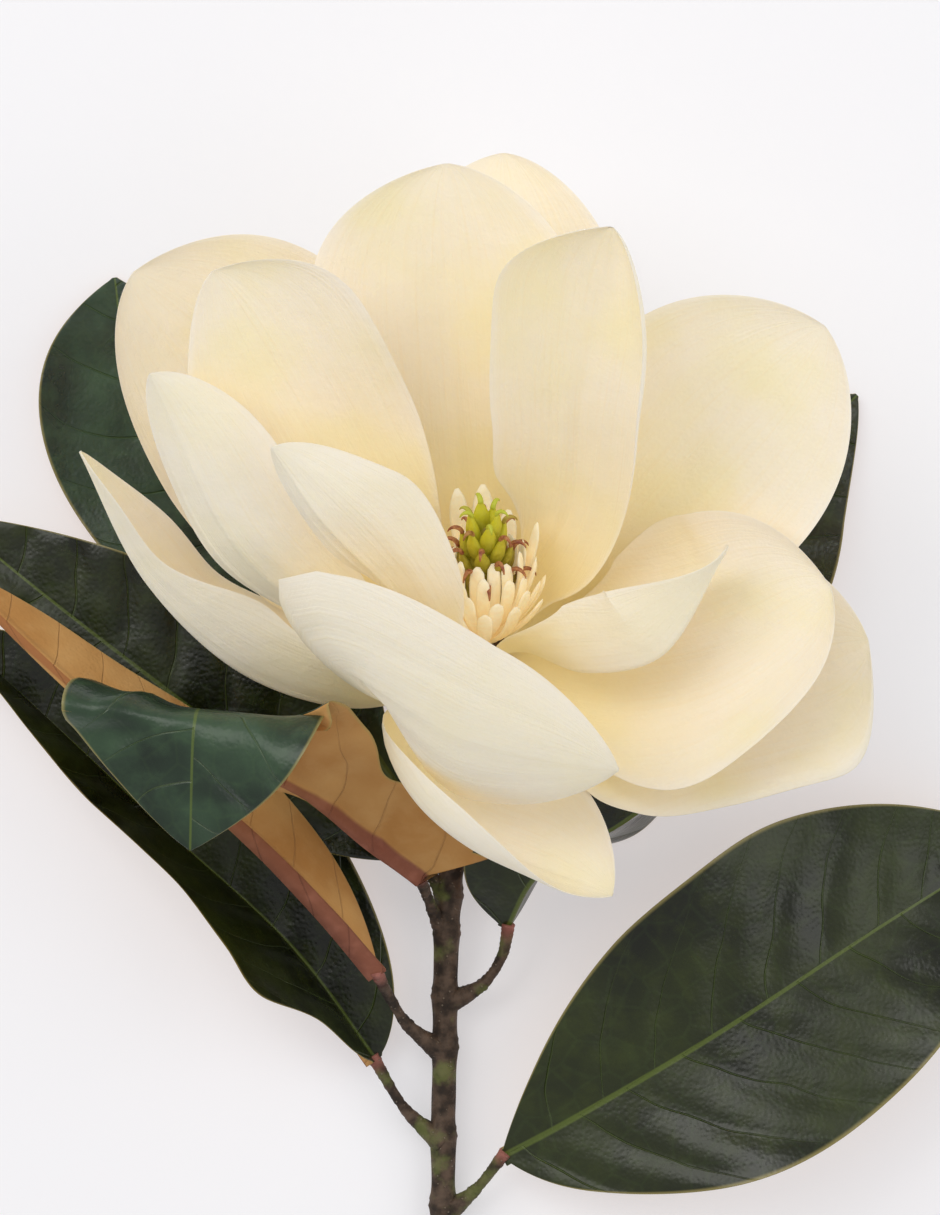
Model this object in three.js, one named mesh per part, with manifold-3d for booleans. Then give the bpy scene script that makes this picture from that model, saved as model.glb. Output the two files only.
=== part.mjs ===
// A cut magnolia branch lying on its back on a table: one wide cream bloom, eight leathery leaves
// and a woody stem with a twig to each leaf.
// Units are millimetres. +Z is up, the table is z = 0, the stem runs along Y and the bloom is at +Y.
import * as THREE from 'three';
import { mergeVertices } from 'three/addons/utils/BufferGeometryUtils.js';
import Module from 'manifold-3d';

const wasm = await Module();
wasm.setup();

const RAD = Math.PI / 180;
const ORIGIN = new THREE.Vector3(-2.9, 86.0, 0); // moves the middle of the branch's box to the origin
const GAP = 0.3; // clearance where one piece is seated on another
const GOLDEN_ANGLE = 137.5; // turn from one organ to the next up a bloom's axis

// Driving sizes of the bloom
const BLOOM_SEAT = new THREE.Vector3(4.5, -23, 46); // where the lowest petals leave the stem's end
const BLOOM_LEAN = 52; // degrees that the bloom's axis leans from straight up, along the stem
const WHORL_HEIGHTS = [3, 8.5, 14]; // of the outer, middle and inner petals, up the bloom's axis
const TORUS_RADIUS = 6.5; // the stem's swollen end, which carries the bloom
const TORUS_HEIGHT = 19;
const PETAL_THICKNESS = 1.0;
const CLAW_HALF_WIDTH = 3.2; // half the width of a petal where it is attached

// Stamens stand in rows on a drum above the petals, and carpels cover the cone above that
const DRUM_HEIGHT = 11;
const DRUM_RADIUS = 6.5;
const STAMENS_A_ROW = 12;
const STAMEN_LENGTH = 25;
const STAMEN_LEANS = [[50, 14], [44, 6], [38, -4], [32, -14]]; // degrees at root and tip, lowest row first
const TONGUES = [[18, 35], [63, 33], [92, 40], [118, 40]]; // turn and length of the long ones at the back
const CONE_HEIGHT = 29;
const CONE_RADIUS = 7;
const CARPELS = 28;
const CARPEL_LENGTH = 9.5;

// Driving sizes of the leaves
const LEAF_THICKNESS = 0.9;
const MIDRIB_HEIGHT = 3.2; // how far the midrib stands out under a leaf's base
const MIDRIB_HALF_WIDTH = 2.8;

// One row a petal. path is where its midline goes from the stem's end and face the direction that its inner
// side looks in. left and right widen or narrow a half, fold is the angle at which the halves leave the
// midline, curl bends each half, and a larger tip is more pointed. Angles are degrees, and every list is
// evenly spaced from base to tip.
const PETALS = [
  { name: 'petal_outer_back', whorl: 0, width: 88, right: [1, 1, 0.88, 0.85], curlRight: [10, 30, 30],
    curlLeft: [5, 8, 8],
    path: [[6, 0, 34], [9, 30, 38], [13, 76, 48], [10, 138, 54]],
    face: [[-0.08, 0, 1]] },
  { name: 'petal_outer_left_back', whorl: 0, width: 90, right: [1, 1, 1, 1.15], curl: [10, 30, 30],
    path: [[-12, -10, 40], [-36, 20, 45], [-61, 64, 58], [-101, 100, 74]],
    face: [[0.15, -0.2, 0.95]] },
  { name: 'petal_outer_left', whorl: 0, width: 72, right: [0.8, 0.8, 0.8, 0.6, 0.6],
    left: [0.9, 0.9, 0.65, 0.26, 0.3], fold: [10, 40, 50, 48, 42, 5], tip: 0.75,
    curlRight: [10, 20, 20], curlLeft: [10, 25, 20],
    path: [[-13, -26, 50], [-36, -30, 54], [-68, -20, 63], [-96, 7, 76], [-115, 46, 92]],
    face: [[0.3, 0.6, 0.6], [0.5, 0.75, -0.1], [0.6, 0.6, 0.2]] },
  { name: 'petal_outer_front', whorl: 0, width: 80, widest: 0.52, tip: 0.75,
    right: [0.4, 0.7, 0.75, 0.5, 0.5], left: [0.6, 0.3, 0.65, 1.05, 1.05], curlRight: [10, 100, 40],
    curlLeft: [10, 38, 30],
    path: [[-4, -36, 58], [-14, -50, 70], [3, -69, 82], [42, -85, 92]],
    face: [[0.2, 0.8, 0.2], [0.3, 0.7, 0.5], [0.2, 0.6, 0.7]] },
  { name: 'petal_outer_right', whorl: 0, width: 86, right: [1, 1.5, 1.2, 0.95, 1.05, 1.7],
    curl: [10, 30, 10],
    path: [[20, -25, 51], [40, -25, 55], [76, -23, 63], [119, -10, 76]],
    face: [[-0.1, 0.5, 0.85], [-0.2, 0.28, 0.93], [-0.2, 0.28, 0.93]] },
  { name: 'petal_middle_back', whorl: 1, width: 84, left: [1, 1, 1.05, 1.4], curlRight: [5, 15, 15],
    curlLeft: [10, 30, 25],
    path: [[3, 4, 44], [0, 28, 54], [-4, 72, 74], [-7, 131, 92]],
    face: [[0, -0.3, 1]] },
  { name: 'petal_middle_left', whorl: 1, width: 74, right: [0.5, 0.3, 0.35], left: 0.78,
    curlRight: [5, 10, 10], curlLeft: [5, 12, 45, 50],
    path: [[-15, -12, 54], [-38, -5, 73], [-67, 16, 93], [-93, 68, 110]],
    face: [[0.7, 0.5, -0.1], [0.42, 0.45, -0.7], [0.3, 0.45, -0.75]] },
  { name: 'petal_middle_front', whorl: 1, width: 86, widest: 0.52, tip: 0.8,
    right: [0.9, 0.85, 0.82, 0.75], left: [0.8, 0.45, 0.2, 0.6, 1.15, 1.1, 1], curlRight: [10, 45, 35],
    curlLeft: [10, 45, 25],
    path: [[-6, -26, 66], [-24, -28, 89], [-34, -19, 110], [-2, -37, 121], [43, -47, 117]],
    face: [[0.2, 0.9, -0.1], [0.4, 0.8, -0.2], [0.3, 0.6, -0.6], [0.2, 0.5, -0.8]] },
  { name: 'petal_middle_right', whorl: 1, width: 88, tip: 0.5, right: [1, 1, 1, 0.75, 0.75],
    left: [1, 1, 1, 1, 1.2], curl: [10, 30, 30, 40],
    path: [[22, -17, 57], [46, -19, 68], [77, -12, 84], [106, 6, 96]],
    face: [[-0.3, 0.2, 0.9]] },
  { name: 'petal_middle_right_back', whorl: 1, width: 85, left: [0.55, 0.9, 1.05, 1.1],
    curl: [10, 30, 28],
    path: [[22, -3, 50], [42, 17, 64], [75, 53, 79], [105, 83, 90]],
    face: [[-0.3, -0.3, 0.9]] },
  { name: 'petal_inner_left_back', whorl: 2, width: 78, right: [0.82, 0.82, 0.84, 0.95, 1.4],
    left: [1, 1, 1, 0.8, 0.6], curlRight: [10, 35, 35], curlLeft: [5, 12, 12],
    path: [[-13, 1, 52], [-30, 22, 71], [-50, 56, 90], [-75, 98, 108]],
    face: [[0.25, -0.4, 0.85]] },
  { name: 'petal_inner_left_front', whorl: 2, width: 70, right: 0.18, left: [1, 0.72, 0.74, 0.8, 0.65],
    curlRight: [5, 8, 10], curlLeft: [10, 45, 50],
    path: [[-10, -8, 72], [-25, 8, 101], [-43, 26, 119], [-57, 46, 127]],
    face: [[0.85, 0.45, 0.15], [0.4, 0.5, -0.6], [0.2, 0.45, -0.85]] },
  { name: 'petal_inner_right_front', whorl: 2, width: 62, right: [0.9, 0.95, 0.88, 0.75, 0],
    left: [0.7, 0.7, 0.9], tip: 0.8, fold: [10, 30, 40, 40, 38, 5], curlRight: [10, 30, 20],
    curlLeft: [5, 10, 10],
    path: [[17, -13, 70], [34, -19, 86], [56, -14, 98], [75, 18, 108]],
    face: [[-0.3, 0.8, 0], [-0.3, 0.85, -0.3], [-0.4, 0.8, -0.2]] },
  { name: 'petal_inner_right_back', whorl: 2, width: 62, right: [1, 1, 0.8, 0.85, 1, 1],
    left: [0.8, 0.55, 0.88, 0.87, 1.25, 2.4], curl: [5, 30, 60, 90],
    path: [[18, 8, 55.5], [30, 30, 79], [33, 68, 104], [41, 110, 118]],
    face: [[-0.5, -0.3, 0.8], [-0.35, -0.2, 0.9], [-0.2, -0.3, 0.93]] },
];

// One row a leaf. twig is the path of its stalk from the middle of the stem to the blade, path that of the
// midrib from there, and face the direction that its green side looks in.
const LEAVES = [
  { name: 'leaf_right_low', width: 104, widest: 0.48, right: [1, 0.93, 0.93, 0.93, 0.96],
    left: [0.6, 0.8, 0.88, 0.93, 1.03, 1.06, 1], fold: 8, curl: [10, 14, 10], wave: 4,
    twig: [[-7.2, -190, 6], [1.5, -183, 8], [11, -170.5, 14]],
    path: [[30, -160, 22], [76, -132, 30], [126, -100, 24], [174, -72, 8]],
    face: [[0, 0, 1]] },
  { name: 'leaf_left_low', width: 88, right: [0.75, 0.8, 0.9, 1, 1],
    left: [0.8, 0.82, 1.42, 1, 0.82, 0.86, 0.8, 0.75, 0.85, 0.8, 0.8], widest: 0.38, fold: 40,
    curl: [6, 8, 6], wave: 3.5,
    twig: [[-8.6, -168, 7], [-20, -158, 7.5], [-30.5, -141, 8]],
    path: [[-56, -107, 7], [-97, -69, 6], [-146, -23, 6], [-168, -4, 7]],
    face: [[0.39, 0.39, 0.83]] },
  { name: 'leaf_left_keeled', width: 56, widest: 0.45, fold: 62, curl: [10, 14, 10], wave: 2,
    twig: [[-8, -140, 8], [-19, -131, 14], [-25, -121, 23], [-29, -112, 34]],
    path: [[-44, -94, 43], [-68, -69, 50], [-120, -25, 54], [-162, 15, 52]],
    face: [[0.2, 0.21, -0.95]] },
  { name: 'leaf_right_behind', width: 68, widest: 0.4, fold: -42, curl: [10, 14, 10], wave: 2,
    twig: [[-7, -124, 9], [4, -118, 11], [10, -109, 13], [12, -99, 17]],
    path: [[21, -83, 30], [50, -64, 40], [80, -38, 42], [100, 0, 36]],
    face: [[0.5, -0.45, 0.7]] },
  { name: 'leaf_left_folded', width: 88, right: [0.1, 0.06, 0.5, 1.08, 0.95],
    left: [8.5, 2.3, 0.85, 0.97, 1.06, 0.95, 1.04, 1, 0.9], widest: 0.55, fold: 2, curl: [3, 3, 6],
    wave: 1.5,
    twig: [[-7, -104, 10], [-11, -96, 16], [-13.5, -89, 24], [-16, -82, 33]],
    path: [[-31, -71, 46], [-49, -56, 59], [-66, -46, 69], [-76, -38, 76], [-80, -30.5, 85],
      [-81, -34, 95], [-83, -72, 84]],
    face: [[0.25, 0.8, -0.5], [0.1, 0.75, -0.65], [0, 0.75, -0.67], [0.05, 0.77, -0.64],
      [0.13, 0.8, -0.57], [0.2, 0.81, -0.5], [0.25, 0.83, -0.4], [0.06, 0.9, 0.35], [-0.35, -0.2, 0.9],
      [-0.3, -0.25, 0.9], [-0.2, -0.25, 0.95]] },
  { name: 'leaf_left_behind', width: 70, left: 0.55, widest: 0.45, fold: 3, curl: [6, 8, 6], wave: 1.5,
    twig: [[-7, -92, 12], [-12, -84, 16], [-20, -77, 21]],
    path: [[-50, -60, 21], [-90, -29, 21], [-130, 2, 21], [-162, 28, 21]],
    face: [[0, 0, 1]] },
  { name: 'leaf_back_left', width: 80, left: [1, 1, 0.85, 0.8, 0.95, 1.3], widest: 0.62, fold: 8,
    curl: [10, 14, 10], wave: 2,
    twig: [[-6, -80, 13], [-12, -72, 8], [-20, -60, 6]],
    path: [[-55, -10, 4], [-86, 30, 2.2], [-106, 64, 1.5], [-112, 104, 2.5]],
    face: [[0, 0, 1]] },
  { name: 'leaf_back_right', width: 80, widest: 0.5, fold: 8, curl: [10, 14, 10], wave: 2,
    twig: [[-5, -74, 15], [2, -66, 10], [8, -56, 8]],
    path: [[35, -26, 5], [72, 9, 2.2], [99, 43, 1.2], [122, 67, 2.5]],
    face: [[0, 0, 1]] },
];

// The stem's line from the cut end to the bloom: x, y, z and the radius there
const STEM_LINE = [
  [-6, -310, 4.1, 4.2],
  [-7.5, -260, 4.6, 3.9],
  [-8.4, -200, 5.5, 3.8],
  [-8.2, -150, 7, 3.8],
  [-7.5, -112, 10, 3.8],
  [-6.5, -88, 14, 3.8],
  [-3, -62, 22, 4.1],
  [1.5, -40, 33, 5],
];

// Value at share s of an evenly spaced list of values, on a smooth Catmull-Rom curve
function along(values, s) {
  if (!Array.isArray(values)) return values;
  const last = values.length - 1;
  const x = Math.min(Math.max(s, 0), 1) * last;
  const i = Math.min(Math.floor(x), last - 1);
  const t = x - i;
  const b = values[i];
  const c = values[i + 1];
  const a = i > 0 ? values[i - 1] : 2 * b - c;
  const d = i < last - 1 ? values[i + 2] : 2 * c - b;
  return b + 0.5 * t * (c - a + t * (2 * a - 5 * b + 4 * c - d + t * (3 * (b - c) + d - a)));
}

// Petal outline: half-width as a share of the largest, narrow at the claw, widest at 0.6 and round at the tip
function petalOutline(s, widest, tip) {
  if (s < widest) return Math.sin((Math.PI / 2) * (s / widest)) ** 1.25;
  return (1 - ((s - widest) / (1 - widest)) ** 2.2) ** tip;
}

// Leaf outline: a long oval drawn out to a point at both ends, widest at the given share
function leafOutline(s, widest) {
  return Math.sin(Math.PI * s ** (Math.log(0.5) / Math.log(widest))) ** 0.82;
}

// A list of vectors spread evenly over a length: the one at share s, as a unit vector
function vectorAlong(list, s) {
  if (list.length === 1) return new THREE.Vector3(...list[0]).normalize();
  return new THREE.Vector3(...[0, 1, 2].map((k) => along(list.map((v) => v[k]), s))).normalize();
}

// The midline of a blade: at share s of its length, the point there, the way ahead, the way to its side
// and the way that its inner or green side looks
function bladeMidline(seat, row) {
  const points = [seat, ...row.path.map((p) => new THREE.Vector3(...p))];
  const curve = new THREE.CatmullRomCurve3(points, false, 'centripetal');
  return (s) => {
    const at = curve.getPointAt(s);
    const ahead = curve.getTangentAt(s);
    const side = new THREE.Vector3().crossVectors(vectorAlong(row.face, s), ahead).normalize();
    const face = new THREE.Vector3().crossVectors(ahead, side);
    return { s, at, side, face };
  };
}

// A point of the blade's middle surface and its normal, at share s of the length and v from -1 to 1 across.
// Each half is an arc: it leaves the midline at the fold's angle and turns by the curl's angle.
function bladePoint(spec, station, halfWidth, v) {
  const { s, at, side, face } = station;
  const fold = along(spec.fold ?? 0, s) * RAD;
  const curl = Math.max(along((v > 0 ? spec.curlLeft : spec.curlRight) ?? spec.curl, s), 1) * RAD;
  const angle = fold + curl * Math.abs(v);
  const reach = halfWidth * along((v > 0 ? spec.left : spec.right) ?? 1, s);
  const across = (reach / curl) * (Math.sin(angle) - Math.sin(fold));
  const above = (reach / curl) * (Math.cos(fold) - Math.cos(angle));
  const phase = 2.6 * s + (v < 0 ? 0.35 : 0);
  const ripple = (spec.wave ?? 0) * Math.sin(2 * Math.PI * phase) * v * v * Math.sin(Math.PI * s);
  const aside = at.clone().addScaledVector(side, Math.sign(v) * across);
  const point = aside.addScaledVector(face, above + ripple);
  const upright = face.clone().multiplyScalar(Math.cos(angle));
  const normal = upright.addScaledVector(side, -Math.sign(v) * Math.sin(angle));
  return { point, normal };
}

// Closed shell between two equal grids of points: both faces, split alike, and the rim that joins them
function shellGeometry(front, back) {
  const rows = front.length;
  const columns = front[0].length;
  const points = [...front.flat(), ...back.flat()];
  const index = [];
  const id = (face, r, c) => face * rows * columns + r * columns + c;
  for (let r = 0; r < rows - 1; r++) {
    for (let c = 0; c < columns - 1; c++) {
      index.push(id(0, r, c), id(0, r + 1, c), id(0, r + 1, c + 1));
      index.push(id(0, r, c), id(0, r + 1, c + 1), id(0, r, c + 1));
      index.push(id(1, r, c), id(1, r + 1, c + 1), id(1, r + 1, c));
      index.push(id(1, r, c), id(1, r, c + 1), id(1, r + 1, c + 1));
    }
  }
  const rim = [];
  for (let c = 0; c < columns - 1; c++) rim.push([0, c]);
  for (let r = 0; r < rows - 1; r++) rim.push([r, columns - 1]);
  for (let c = columns - 1; c > 0; c--) rim.push([rows - 1, c]);
  for (let r = rows - 1; r > 0; r--) rim.push([r, 0]);
  rim.forEach(([r, c], i) => {
    const [rn, cn] = rim[(i + 1) % rim.length];
    index.push(id(0, r, c), id(0, rn, cn), id(1, rn, cn), id(0, r, c), id(1, rn, cn), id(1, r, c));
  });
  const geometry = new THREE.BufferGeometry().setFromPoints(points);
  geometry.setIndex(index);
  return geometry;
}

// A blade of even thickness along its midline. outline gives the half-width at a share of the length,
// shares the rows, and lines the columns from -1 to 1; rib thickens the back along the midline.
function bladeGeometry(seat, spec, outline, shares, lines, thickness, rib) {
  const midline = bladeMidline(seat, spec);
  const front = [];
  const back = [];
  for (const s of shares) {
    const station = midline(s);
    const halfWidth = outline(s);
    const frontRow = [];
    const backRow = [];
    for (const v of lines) {
      const { point, normal } = bladePoint(spec, station, halfWidth, v);
      frontRow.push(point.clone().addScaledVector(normal, thickness / 2));
      backRow.push(point.clone().addScaledVector(normal, -thickness / 2 - rib(s, Math.abs(v) * halfWidth)));
    }
    front.push(frontRow);
    back.push(backRow);
  }
  return shellGeometry(front, back);
}

// Closed tube through the points, with a radius at each
function tubeGeometry(points, radii, sides, rings) {
  const curve = new THREE.CatmullRomCurve3(points);
  const frames = curve.computeFrenetFrames(rings, false);
  const vertices = [];
  for (let i = 0; i <= rings; i++) {
    const centre = curve.getPointAt(i / rings);
    const radius = along(radii, curve.getUtoTmapping(i / rings));
    for (let k = 0; k < sides; k++) {
      const a = (k / sides) * 2 * Math.PI;
      const point = centre.clone().addScaledVector(frames.normals[i], radius * Math.cos(a));
      vertices.push(point.addScaledVector(frames.binormals[i], radius * Math.sin(a)));
    }
  }
  vertices.push(curve.getPointAt(0), curve.getPointAt(1));
  const index = [];
  const start = vertices.length - 2;
  for (let i = 0; i < rings; i++) {
    for (let k = 0; k < sides; k++) {
      const n = (k + 1) % sides;
      const a = i * sides + k;
      const b = i * sides + n;
      index.push(a, b, b + sides, a, b + sides, a + sides);
    }
  }
  for (let k = 0; k < sides; k++) {
    const n = (k + 1) % sides;
    index.push(start, n, k, start + 1, rings * sides + k, rings * sides + n);
  }
  const geometry = new THREE.BufferGeometry().setFromPoints(vertices);
  geometry.setIndex(index);
  return geometry;
}

// three.js geometry to manifold-3d solid, and back
function solid(geometry) {
  const bare = geometry.clone();
  bare.deleteAttribute('normal');
  bare.deleteAttribute('uv');
  const merged = mergeVertices(bare, 1e-3);
  return new wasm.Manifold(new wasm.Mesh({
    numProp: 3,
    vertProperties: merged.attributes.position.array,
    triVerts: new Uint32Array(merged.index.array),
  }));
}

function geometryOf(manifold) {
  const mesh = manifold.getMesh();
  const geometry = new THREE.BufferGeometry();
  geometry.setAttribute('position', new THREE.BufferAttribute(new Float32Array(mesh.vertProperties), 3));
  geometry.setIndex(new THREE.BufferAttribute(new Uint32Array(mesh.triVerts), 1));
  geometry.computeVertexNormals();
  return geometry;
}

// One named mesh of the branch, with its own material
function piece(name, manifold, colour, roughness) {
  const material = new THREE.MeshStandardMaterial({ color: colour, roughness });
  const mesh = new THREE.Mesh(geometryOf(manifold.translate(ORIGIN.toArray())), material);
  mesh.name = name;
  return mesh;
}

// The bloom's axis, and the point at a height up it
const bloomAxis = new THREE.Vector3(0, Math.sin(BLOOM_LEAN * RAD), Math.cos(BLOOM_LEAN * RAD));
const upBloom = (height) => BLOOM_SEAT.clone().addScaledVector(bloomAxis, height);
const bloomPlace = new THREE.Matrix4().makeRotationX(-BLOOM_LEAN * RAD).setPosition(BLOOM_SEAT);

// The rows of a petal's grid are closer together towards its tip
const PETAL_ROWS = 10;
const PETAL_LINES = [-1, -0.75, -0.5, -0.25, 0, 0.25, 0.5, 0.75, 1];
const petalShares = Array.from({ length: PETAL_ROWS + 1 }, (_, i) => 1 - (1 - i / PETAL_ROWS) ** 1.4);

// One petal, from inside the stem's swollen end to its tip
function petal(row) {
  const centre = upBloom(WHORL_HEIGHTS[row.whorl]);
  const outward = new THREE.Vector3(...row.path[0]).sub(centre).projectOnPlane(bloomAxis).normalize();
  const seat = centre.addScaledVector(outward, TORUS_RADIUS - 2);
  const outline = (s) => {
    const claw = CLAW_HALF_WIDTH * (1 - s);
    const oval = petalOutline(s, row.widest ?? 0.62, row.tip ?? 0.62);
    return Math.max(claw + (row.width / 2 - claw) * oval, 1);
  };
  return solid(bladeGeometry(seat, row, outline, petalShares, PETAL_LINES, PETAL_THICKNESS, () => 0));
}

// The rows of a leaf's grid are closer together at both ends, its columns closer at the midrib
const LEAF_ROWS = 12;
const LEAF_LINES = [-1, -0.62, -0.28, -0.06, 0, 0.06, 0.28, 0.62, 1];
const leafShares = Array.from({ length: LEAF_ROWS + 1 }, (_, i) => {
  const x = i / LEAF_ROWS;
  return 0.5 * (x + (1 - Math.cos(Math.PI * x)) / 2);
});

// One leaf, from the end of its stalk to its tip
function leaf(row) {
  const end = new THREE.Vector3(...row.twig.at(-1));
  const before = new THREE.Vector3(...row.twig.at(-2));
  const seat = end.clone().addScaledVector(end.clone().sub(before).normalize(), GAP);
  const narrowest = (s) => MIDRIB_HALF_WIDTH * (1 - s) + 0.6;
  const outline = (s) => Math.max((row.width / 2) * leafOutline(s, row.widest), narrowest(s));
  const rib = (s, away) => MIDRIB_HEIGHT * (1 - 0.85 * s) * Math.max(0, 1 - (away / MIDRIB_HALF_WIDTH) ** 2);
  return solid(bladeGeometry(seat, row, outline, leafShares, LEAF_LINES, LEAF_THICKNESS, rib));
}

// The stem with its twigs and swollen end, or the room that it takes when grow widens it
function stem(grow) {
  const points = STEM_LINE.map(([x, y, z]) => new THREE.Vector3(x, y, z));
  points.push(BLOOM_SEAT, upBloom(TORUS_HEIGHT / 2), upBloom(TORUS_HEIGHT + grow));
  const torusRadii = [TORUS_RADIUS, TORUS_RADIUS, TORUS_RADIUS - 1];
  const radii = [...STEM_LINE.map((p) => p[3]), ...torusRadii].map((r) => r + grow);
  let made = solid(tubeGeometry(points, radii, 12, 28));
  for (const row of LEAVES) {
    const path = row.twig.map((p) => new THREE.Vector3(...p));
    const end = path.at(-1);
    end.addScaledVector(end.clone().sub(path.at(-2)).normalize(), grow);
    const bulge = path.map((_, i) => (i === 0 ? 3 : 2.1) + grow);
    made = made.add(solid(tubeGeometry(path, bulge, 8, 5)));
  }
  return made;
}

// A closed solid turned round the bloom's axis from a profile of radius and height pairs
function lathed(profile, sides) {
  const geometry = new THREE.LatheGeometry(profile.map(([r, h]) => new THREE.Vector2(r, h)), sides);
  geometry.applyMatrix4(new THREE.Matrix4().makeRotationX(Math.PI / 2));
  return solid(geometry.applyMatrix4(bloomPlace));
}

// A tapering strap with four sides, bent from one heading to another, with its root at the origin.
// It grows along +Z and bends towards +X.
function strap(length, width, thickness, leanStart, leanEnd, taper) {
  const rings = taper.length - 1;
  const centre = new THREE.Vector3();
  const points = [];
  for (let i = 0; i <= rings; i++) {
    const lean = (leanStart + (leanEnd - leanStart) * (i / rings)) * RAD;
    const out = new THREE.Vector3(Math.cos(lean), 0, -Math.sin(lean));
    const [w, t] = [(width / 2) * taper[i], (thickness / 2) * taper[i]];
    for (const [x, y] of [[1, 0], [0, 1], [-1, 0], [0, -1]]) {
      points.push(centre.clone().addScaledVector(out, x * t).add(new THREE.Vector3(0, y * w, 0)));
    }
    centre.add(new THREE.Vector3(Math.sin(lean), 0, Math.cos(lean)).multiplyScalar(length / rings));
  }
  const index = [0, 2, 1, 0, 3, 2];
  for (let i = 0; i < rings; i++) {
    for (let k = 0; k < 4; k++) {
      const a = i * 4 + k;
      const b = i * 4 + ((k + 1) % 4);
      index.push(a, b, b + 4, a, b + 4, a + 4);
    }
  }
  const top = rings * 4;
  index.push(top, top + 1, top + 2, top, top + 2, top + 3);
  const geometry = new THREE.BufferGeometry().setFromPoints(points);
  geometry.setIndex(index);
  return geometry;
}

// A strap set on the bloom's axis at a turn, radius and height
function onBloom(geometry, turn, radius, height) {
  const turned = new THREE.Matrix4().makeRotationZ(turn * RAD);
  const place = new THREE.Matrix4().makeTranslation(radius, 0, height).premultiply(turned);
  return solid(geometry.applyMatrix4(place.premultiply(bloomPlace)));
}

// The drum and the rows of stamens on it, each row set half a step round from the one below. They spread to
// the right and stand more upright at the back, where the petals rise steeply.
function stamens() {
  const low = TORUS_HEIGHT + GAP;
  const high = low + DRUM_HEIGHT;
  const profile = [[0, low], [DRUM_RADIUS - 1, low], [DRUM_RADIUS, low + 2], [DRUM_RADIUS, high], [0, high]];
  let made = lathed(profile, 14);
  STAMEN_LEANS.forEach(([root, tip], row) => {
    for (let k = 0; k < STAMENS_A_ROW; k++) {
      const turn = ((k + 0.5 * (row % 2)) / STAMENS_A_ROW) * 360;
      const raised = (14 - 4 * row) * Math.max(0, Math.sin(turn * RAD));
      const tilt = 2 * Math.max(0, Math.cos(turn * RAD)) - raised;
      const geometry = strap(STAMEN_LENGTH, 4.4, 1.8, root + tilt, tip + tilt, [0.55, 0.9, 1, 0.6]);
      made = made.add(onBloom(geometry, turn, DRUM_RADIUS - 1.2, low + 1.6 + row * 2.4));
    }
  });
  for (const [turn, length] of TONGUES) {
    const geometry = strap(length, 6, 1.8, 30, 6, [0.5, 0.8, 1, 0.5]);
    made = made.add(onBloom(geometry, turn, DRUM_RADIUS - 1.2, low + 5));
  }
  return made;
}

// The cone and its carpels, each a golden angle round from the one below
function carpels() {
  const low = TORUS_HEIGHT + DRUM_HEIGHT + 2 * GAP;
  const profile = [[0, low], [CONE_RADIUS - 0.8, low], [CONE_RADIUS, low + 4], [CONE_RADIUS * 0.85, low + 15],
    [CONE_RADIUS * 0.5, low + 23], [0, low + CONE_HEIGHT]];
  let made = lathed(profile, 12);
  for (let k = 0; k < CARPELS; k++) {
    const share = (k + 0.5) / CARPELS;
    const radius = CONE_RADIUS * (1 - 0.6 * share ** 2) - 1.4;
    const [root, tip, grow] = [34 - 18 * share, 20 - 16 * share, 0.85 + 0.3 * share];
    const geometry = strap(CARPEL_LENGTH + 2 * share, 5.2 * grow, 3.2 * grow, root, tip, [0.9, 1, 0.25]);
    made = made.add(onBloom(geometry, k * GOLDEN_ANGLE, radius, low + 3 + 22 * share));
  }
  return made;
}

// What lies on the table is worn flat where it touches
function trimmed(made) {
  const table = new THREE.BoxGeometry(900, 900, 40).translate(0, 0, -20);
  return made.subtract(solid(table));
}

const branch = new THREE.Group();
branch.name = 'magnolia_branch';
branch.add(piece('stem', trimmed(stem(0)), 0x6a5a4b, 0.85));
branch.add(piece('stamens', stamens(), 0xe9d5a6, 0.7));
branch.add(piece('carpels', carpels(), 0x8e9a34, 0.6));
const stemRoom = stem(GAP);
for (const row of PETALS) {
  branch.add(piece(row.name, petal(row).subtract(stemRoom), 0xf3e6c4, 0.6));
}
for (const row of LEAVES) {
  branch.add(piece(row.name, trimmed(leaf(row).subtract(stemRoom)), 0x24402a, 0.35));
}

export default branch;
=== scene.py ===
# %% [markdown]
# # A cut magnolia branch
# One wide cream bloom, eight leathery leaves and a woody stem lie on a pale table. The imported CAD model
# gives every petal, leaf and organ its place. This file grows a finer skin over each of them and gives it
# its finish.
#
# The branch is all surfaces that can be worked out: a petal is a strip bent twice, a twig is a circle
# carried along a curve, and a stamen is a strap repeated by a rule. So each shape here is a formula in
# numpy.

import math

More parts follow.
